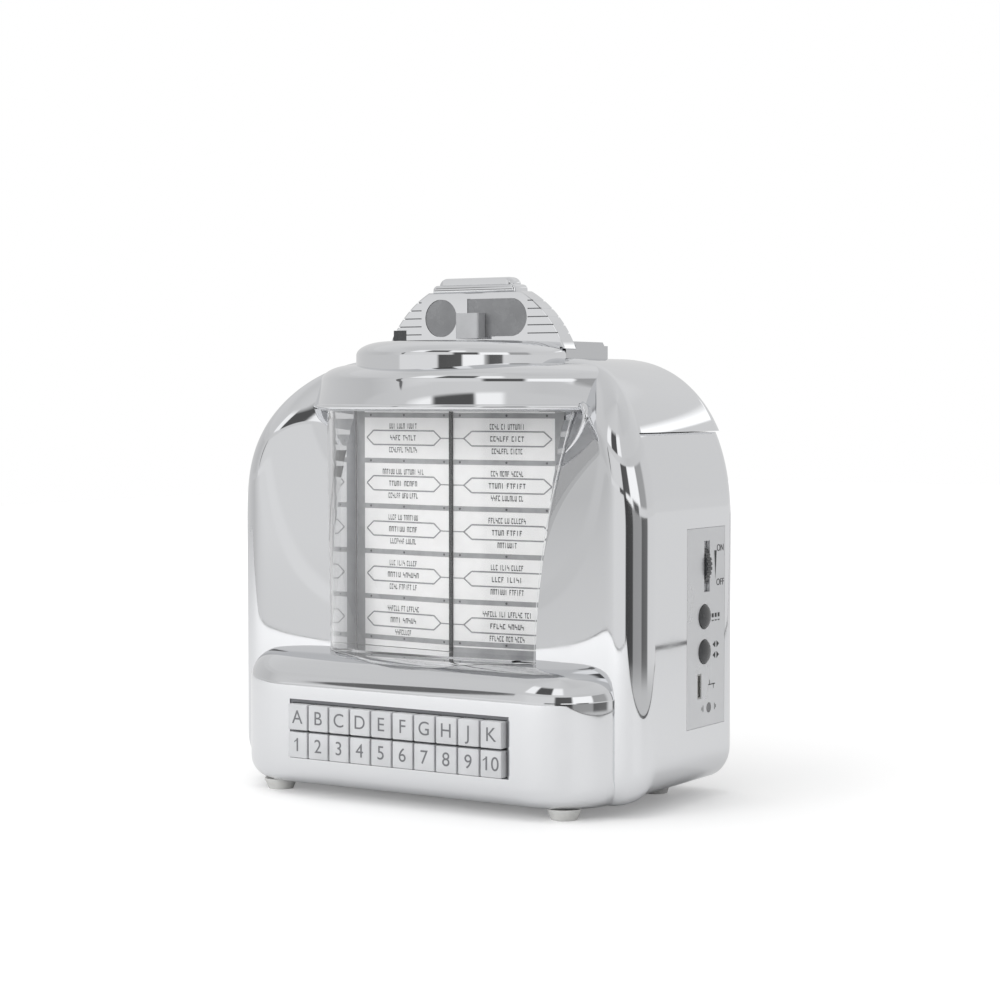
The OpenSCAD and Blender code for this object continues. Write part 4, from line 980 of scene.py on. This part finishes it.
screw_low, screw_high = box_mm("case_screws")
for k, (x, z) in enumerate([(x, z) for x in (-50.0, 50.0) for z in (screw_low.z + 2.2, screw_high.z - 2.2)]):
    for name, w, h in (("flat", 1.3, 0.25), ("upright", 0.25, 1.3)):
        # The dark strokes are painted shade of the driver's cross recess
        slab("cross_%s_%d" % (name, k + 1), rectangle(x - w, z - h, x + w, z + h),
             screw_high.y - 0.2, screw_high.y + 0.03, 0, dark_gloss)
print("solid parts finished:", sum(len(v) for v in SOLID_FINISH.values()))

# %% [markdown]
# ## Studio
#
# A mirror shows the room, so the room is part of the finish. The radio stands near the front edge of a white table
# in a soft grey room, drawn in the world by the direction of the ray. The room holds a dark flat, a tall light box
# and a grey wall in front of the radio to its right, lamps and dark gaps overhead, a lamp box behind and a dark stand
# to the left. The camera sees plain white behind the table, directly and through clear parts.

# %% Table
WHITE = (1, 1, 1, 1)
# The table's edges and the width of its dark rim. Only the chrome shows the rim
X0, X1, Y0, Y1, RIM = -1500, 306, -502, 2500, 9


def table_sheet(name, outline, finish):
    mesh = new_mesh(name, [(x, y, 0) for x, y in rectangle(*outline)], [(0, 1, 2, 3)])
    mesh.materials.append(finish)
    new_object(name, mesh)


def white_to_camera(tree, other, glow):
    direct = ray_mask(tree, "Is Camera Ray", "Is Transmission Ray")
    return add(tree, "MixShader", links={"Fac": (direct, 0), 1: (other, 0), 2: (glow, 0)})


# Lacquered board
white_table, tree, shader, place = new_finish("white_table", "#e9e9e9", Roughness=0.6)
vary_roughness(tree, shader, place, 60.0, 0.5, 0.65)
# Close to the radio the glow is weaker, which darkens the table there as painted shade that deepens its shadow; further
# out it fades into the white behind
reach = add(tree, "VectorMath", links={0: (place, "Object")}, operation="LENGTH")
fade = add(tree, "MapRange", {"From Min": 0.12, "From Max": 0.6, "To Min": 0.2, "To Max": 0.5},
           {"Value": (reach, "Value")})
glow = add(tree, "Emission", {"Color": WHITE}, {"Strength": (fade, "Result")})
none = add(tree, "Emission", {"Strength": 0.0})
seen = white_to_camera(tree, none, glow)
set_surface(tree, add(tree, "AddShader", links={0: (shader, 0), 1: (seen, 0)}))

# Dark edging
rim_finish, tree, shader, place = new_finish("table_rim", "#3c3c3c", Roughness=0.6)
vary_roughness(tree, shader, place, 60.0, 0.5, 0.65)
glow = add(tree, "Emission", {"Color": WHITE, "Strength": 1.0})
set_surface(tree, white_to_camera(tree, shader, glow))

table_sheet("table", (X0, Y0 + RIM, X1 - RIM, Y1), white_table)
table_sheet("table_rim_front", (X0, Y0, X1, Y0 + RIM), rim_finish)
table_sheet("table_rim_side", (X1 - RIM, Y0 + RIM, X1, Y1), rim_finish)
print("table reaches", X1, "mm to the right of the radio's middle and", -Y0, "mm to its front")

# %% World
world = bpy.data.worlds.new("studio")
bpy.context.scene.world = world
world.use_nodes = True
tree = world.node_tree
tree.nodes.clear()
place = add(tree, "TexCoord")
axes = add(tree, "SeparateXYZ", links={"Vector": (place, "Generated")})
forward = add(tree, "Math", {1: -1.0}, {0: (axes, "Y")}, operation="MULTIPLY")
turn = add(tree, "Math", links={0: (axes, "X"), 1: (forward, 0)}, operation="ARCTAN2")


def spread(source, out, low, high, to_low=0.0, to_high=1.0, clamp=True):
    return add(tree, "MapRange", {"From Min": low, "From Max": high, "To Min": to_low, "To Max": to_high},
               {"Value": (source, out)}, clamp=clamp)


around = spread(turn, 0, -pi, pi)


# The room's brightness by the angle in degrees, from the radio's front towards its right side
def bands(stops):
    ramp = add(tree, "ValToRGB", links={"Fac": (around, "Result")})
    marks = ramp.color_ramp.elements
    while len(marks) > 1:
        marks.remove(marks[-1])
    for k, (angle, level) in enumerate(stops):
        position = (angle + 180) / 360
        mark = marks[0] if k == 0 else marks.new(position)
        mark.position, mark.color = position, (level, level, level, 1)
    return ramp


# One zone below another, with a soft edge between two heights of the ray's direction
def blend(low, high, below, above):
    return add(tree, "MixRGB", links={"Fac": (spread(axes, "Z", low, high), "Result"),
                                                "Color1": (below, "Color"), "Color2": (above, "Color")})


room_floor = bands([(-180, 0.66), (0, 0.66), (22, 0.60), (110, 0.62), (180, 0.66)])
# The light box at 50 to 80 degrees starts above eye level. Left of it stands the dark flat, right of it the grey wall
eye_level = bands([(-180, 0.80), (-100, 0.68), (-60, 0.60), (-20, 0.82), (20, 0.82), (23, 0.06), (47, 0.08), (50, 0.36),
                   (80, 0.38), (83, 0.14), (104, 0.18), (110, 0.78), (180, 0.80)])
shelf_level = bands([(-180, 0.75), (-100, 0.66), (-40, 0.66), (-38, 0.85), (4, 0.85), (7, 0.10), (30, 0.12), (32, 1.1),
                     (53, 1.1), (55, 0.5), (60, 0.12), (73, 0.14), (75, 0.8), (110, 0.75), (180, 0.75)])
MIDDLE = [(-180, 0.75), (-100, 0.66), (-60, 0.60), (-20, 0.80), (20, 0.80), (23, 0.10), (47, 0.12), (50, 1.15),
          (80, 1.15), (83, 0.40), (104, 0.42), (110, 0.72)]
middle = bands(MIDDLE + [(180, 0.75)])
# Behind the radio and to its right a low lamp box gives the bright band on the crown just above the ledge
behind = bands(MIDDLE + [(151, 0.72), (157, 1.3), (180, 1.3)])
upper = bands([(-180, 0.75), (-60, 0.66), (-20, 0.72), (20, 0.74), (60, 0.66), (110, 0.70), (180, 0.75)])
overhead = bands([(-180, 0.8), (-60, 0.70), (-34, 0.70), (-31, 1.1), (-15, 1.1), (-12, 0.10), (14, 0.10), (17, 1.1),
                  (33, 1.1), (37, 0.70), (90, 0.7), (180, 0.8)])
room = room_floor
for low, high, zone in ((-0.125, -0.115, eye_level), (-0.004, 0.004, shelf_level), (0.035, 0.055, middle),
                        (0.352, 0.358, behind), (0.385, 0.41, upper), (0.50, 0.53, overhead), (0.78, 0.84, upper)):
    room = blend(low, high, room, zone)
# A narrow dark stand to the left, which the console's top edge shows as a long dark streak
across = spread(around, "Result", 0.3957, 0.4077, -1.0, 1.0, False)
along = spread(axes, "Z", 0.055, 0.42, -1.0, 1.0, False)
pair = add(tree, "CombineXYZ", links={"X": (across, "Result"), "Y": (along, "Result")})
away = add(tree, "VectorMath", links={0: (pair, 0)}, operation="LENGTH")
room = add(tree, "MixRGB", {"Color2": (0.16, 0.16, 0.16, 1)},
           {"Fac": (spread(away, "Value", 1.0, 0.8), "Result"), "Color1": (room, "Color")})
room_light = add(tree, "Background", {"Strength": 1.0}, {"Color": (room, "Color")})
white = add(tree, "Background", {"Color": WHITE, "Strength": 1.0})
add(tree, "OutputWorld", links={"Surface": (white_to_camera(tree, room_light, white), 0)})
print("nodes that draw the room:", len(tree.nodes))

# %% Lamps
def lamp(name, place_mm, aim_mm, size_mm, watts):
    light = bpy.data.lights.new(name, "AREA")
    light.shape = "RECTANGLE"
    light.size, light.size_y = size_mm[0] * MM, size_mm[1] * MM
    light.energy = watts
    obj = new_object(name, light)
    obj.location = Vector(place_mm) * MM
    obj.rotation_euler = (Vector(aim_mm) - Vector(place_mm)).to_track_quat("-Z", "Y").to_euler()
    # The lamps light card and plastic. The chrome shows the room instead, as it would with a polarised lamp
    obj.visible_glossy = obj.visible_camera = False


lamp("soft_top", (-200, -300, 1500), (0, 0, 60), (1400, 1200), 9.0)
lamp("soft_front", (-250, -1000, 420), (0, -10, 85), (700, 500), 5.0)

# %% [markdown]
# ## Camera
#
# The camera stands in front of the radio and to its right, a little above it, and looks almost level.

# %% Camera
camera = bpy.data.cameras.new("camera")
camera.lens, camera.sensor_width = 84.9, 36.0
eye = new_object("camera", camera)
eye.location = Vector((413.74, -635.66, 127.66)) * MM
eye.rotation_euler = (radians(90 - 2.57), 0, radians(32.33))
bpy.context.scene.camera = eye
bpy.context.scene.view_settings.view_transform = "Standard"
print("the camera stands", round(eye.location.length, 3), "m away")
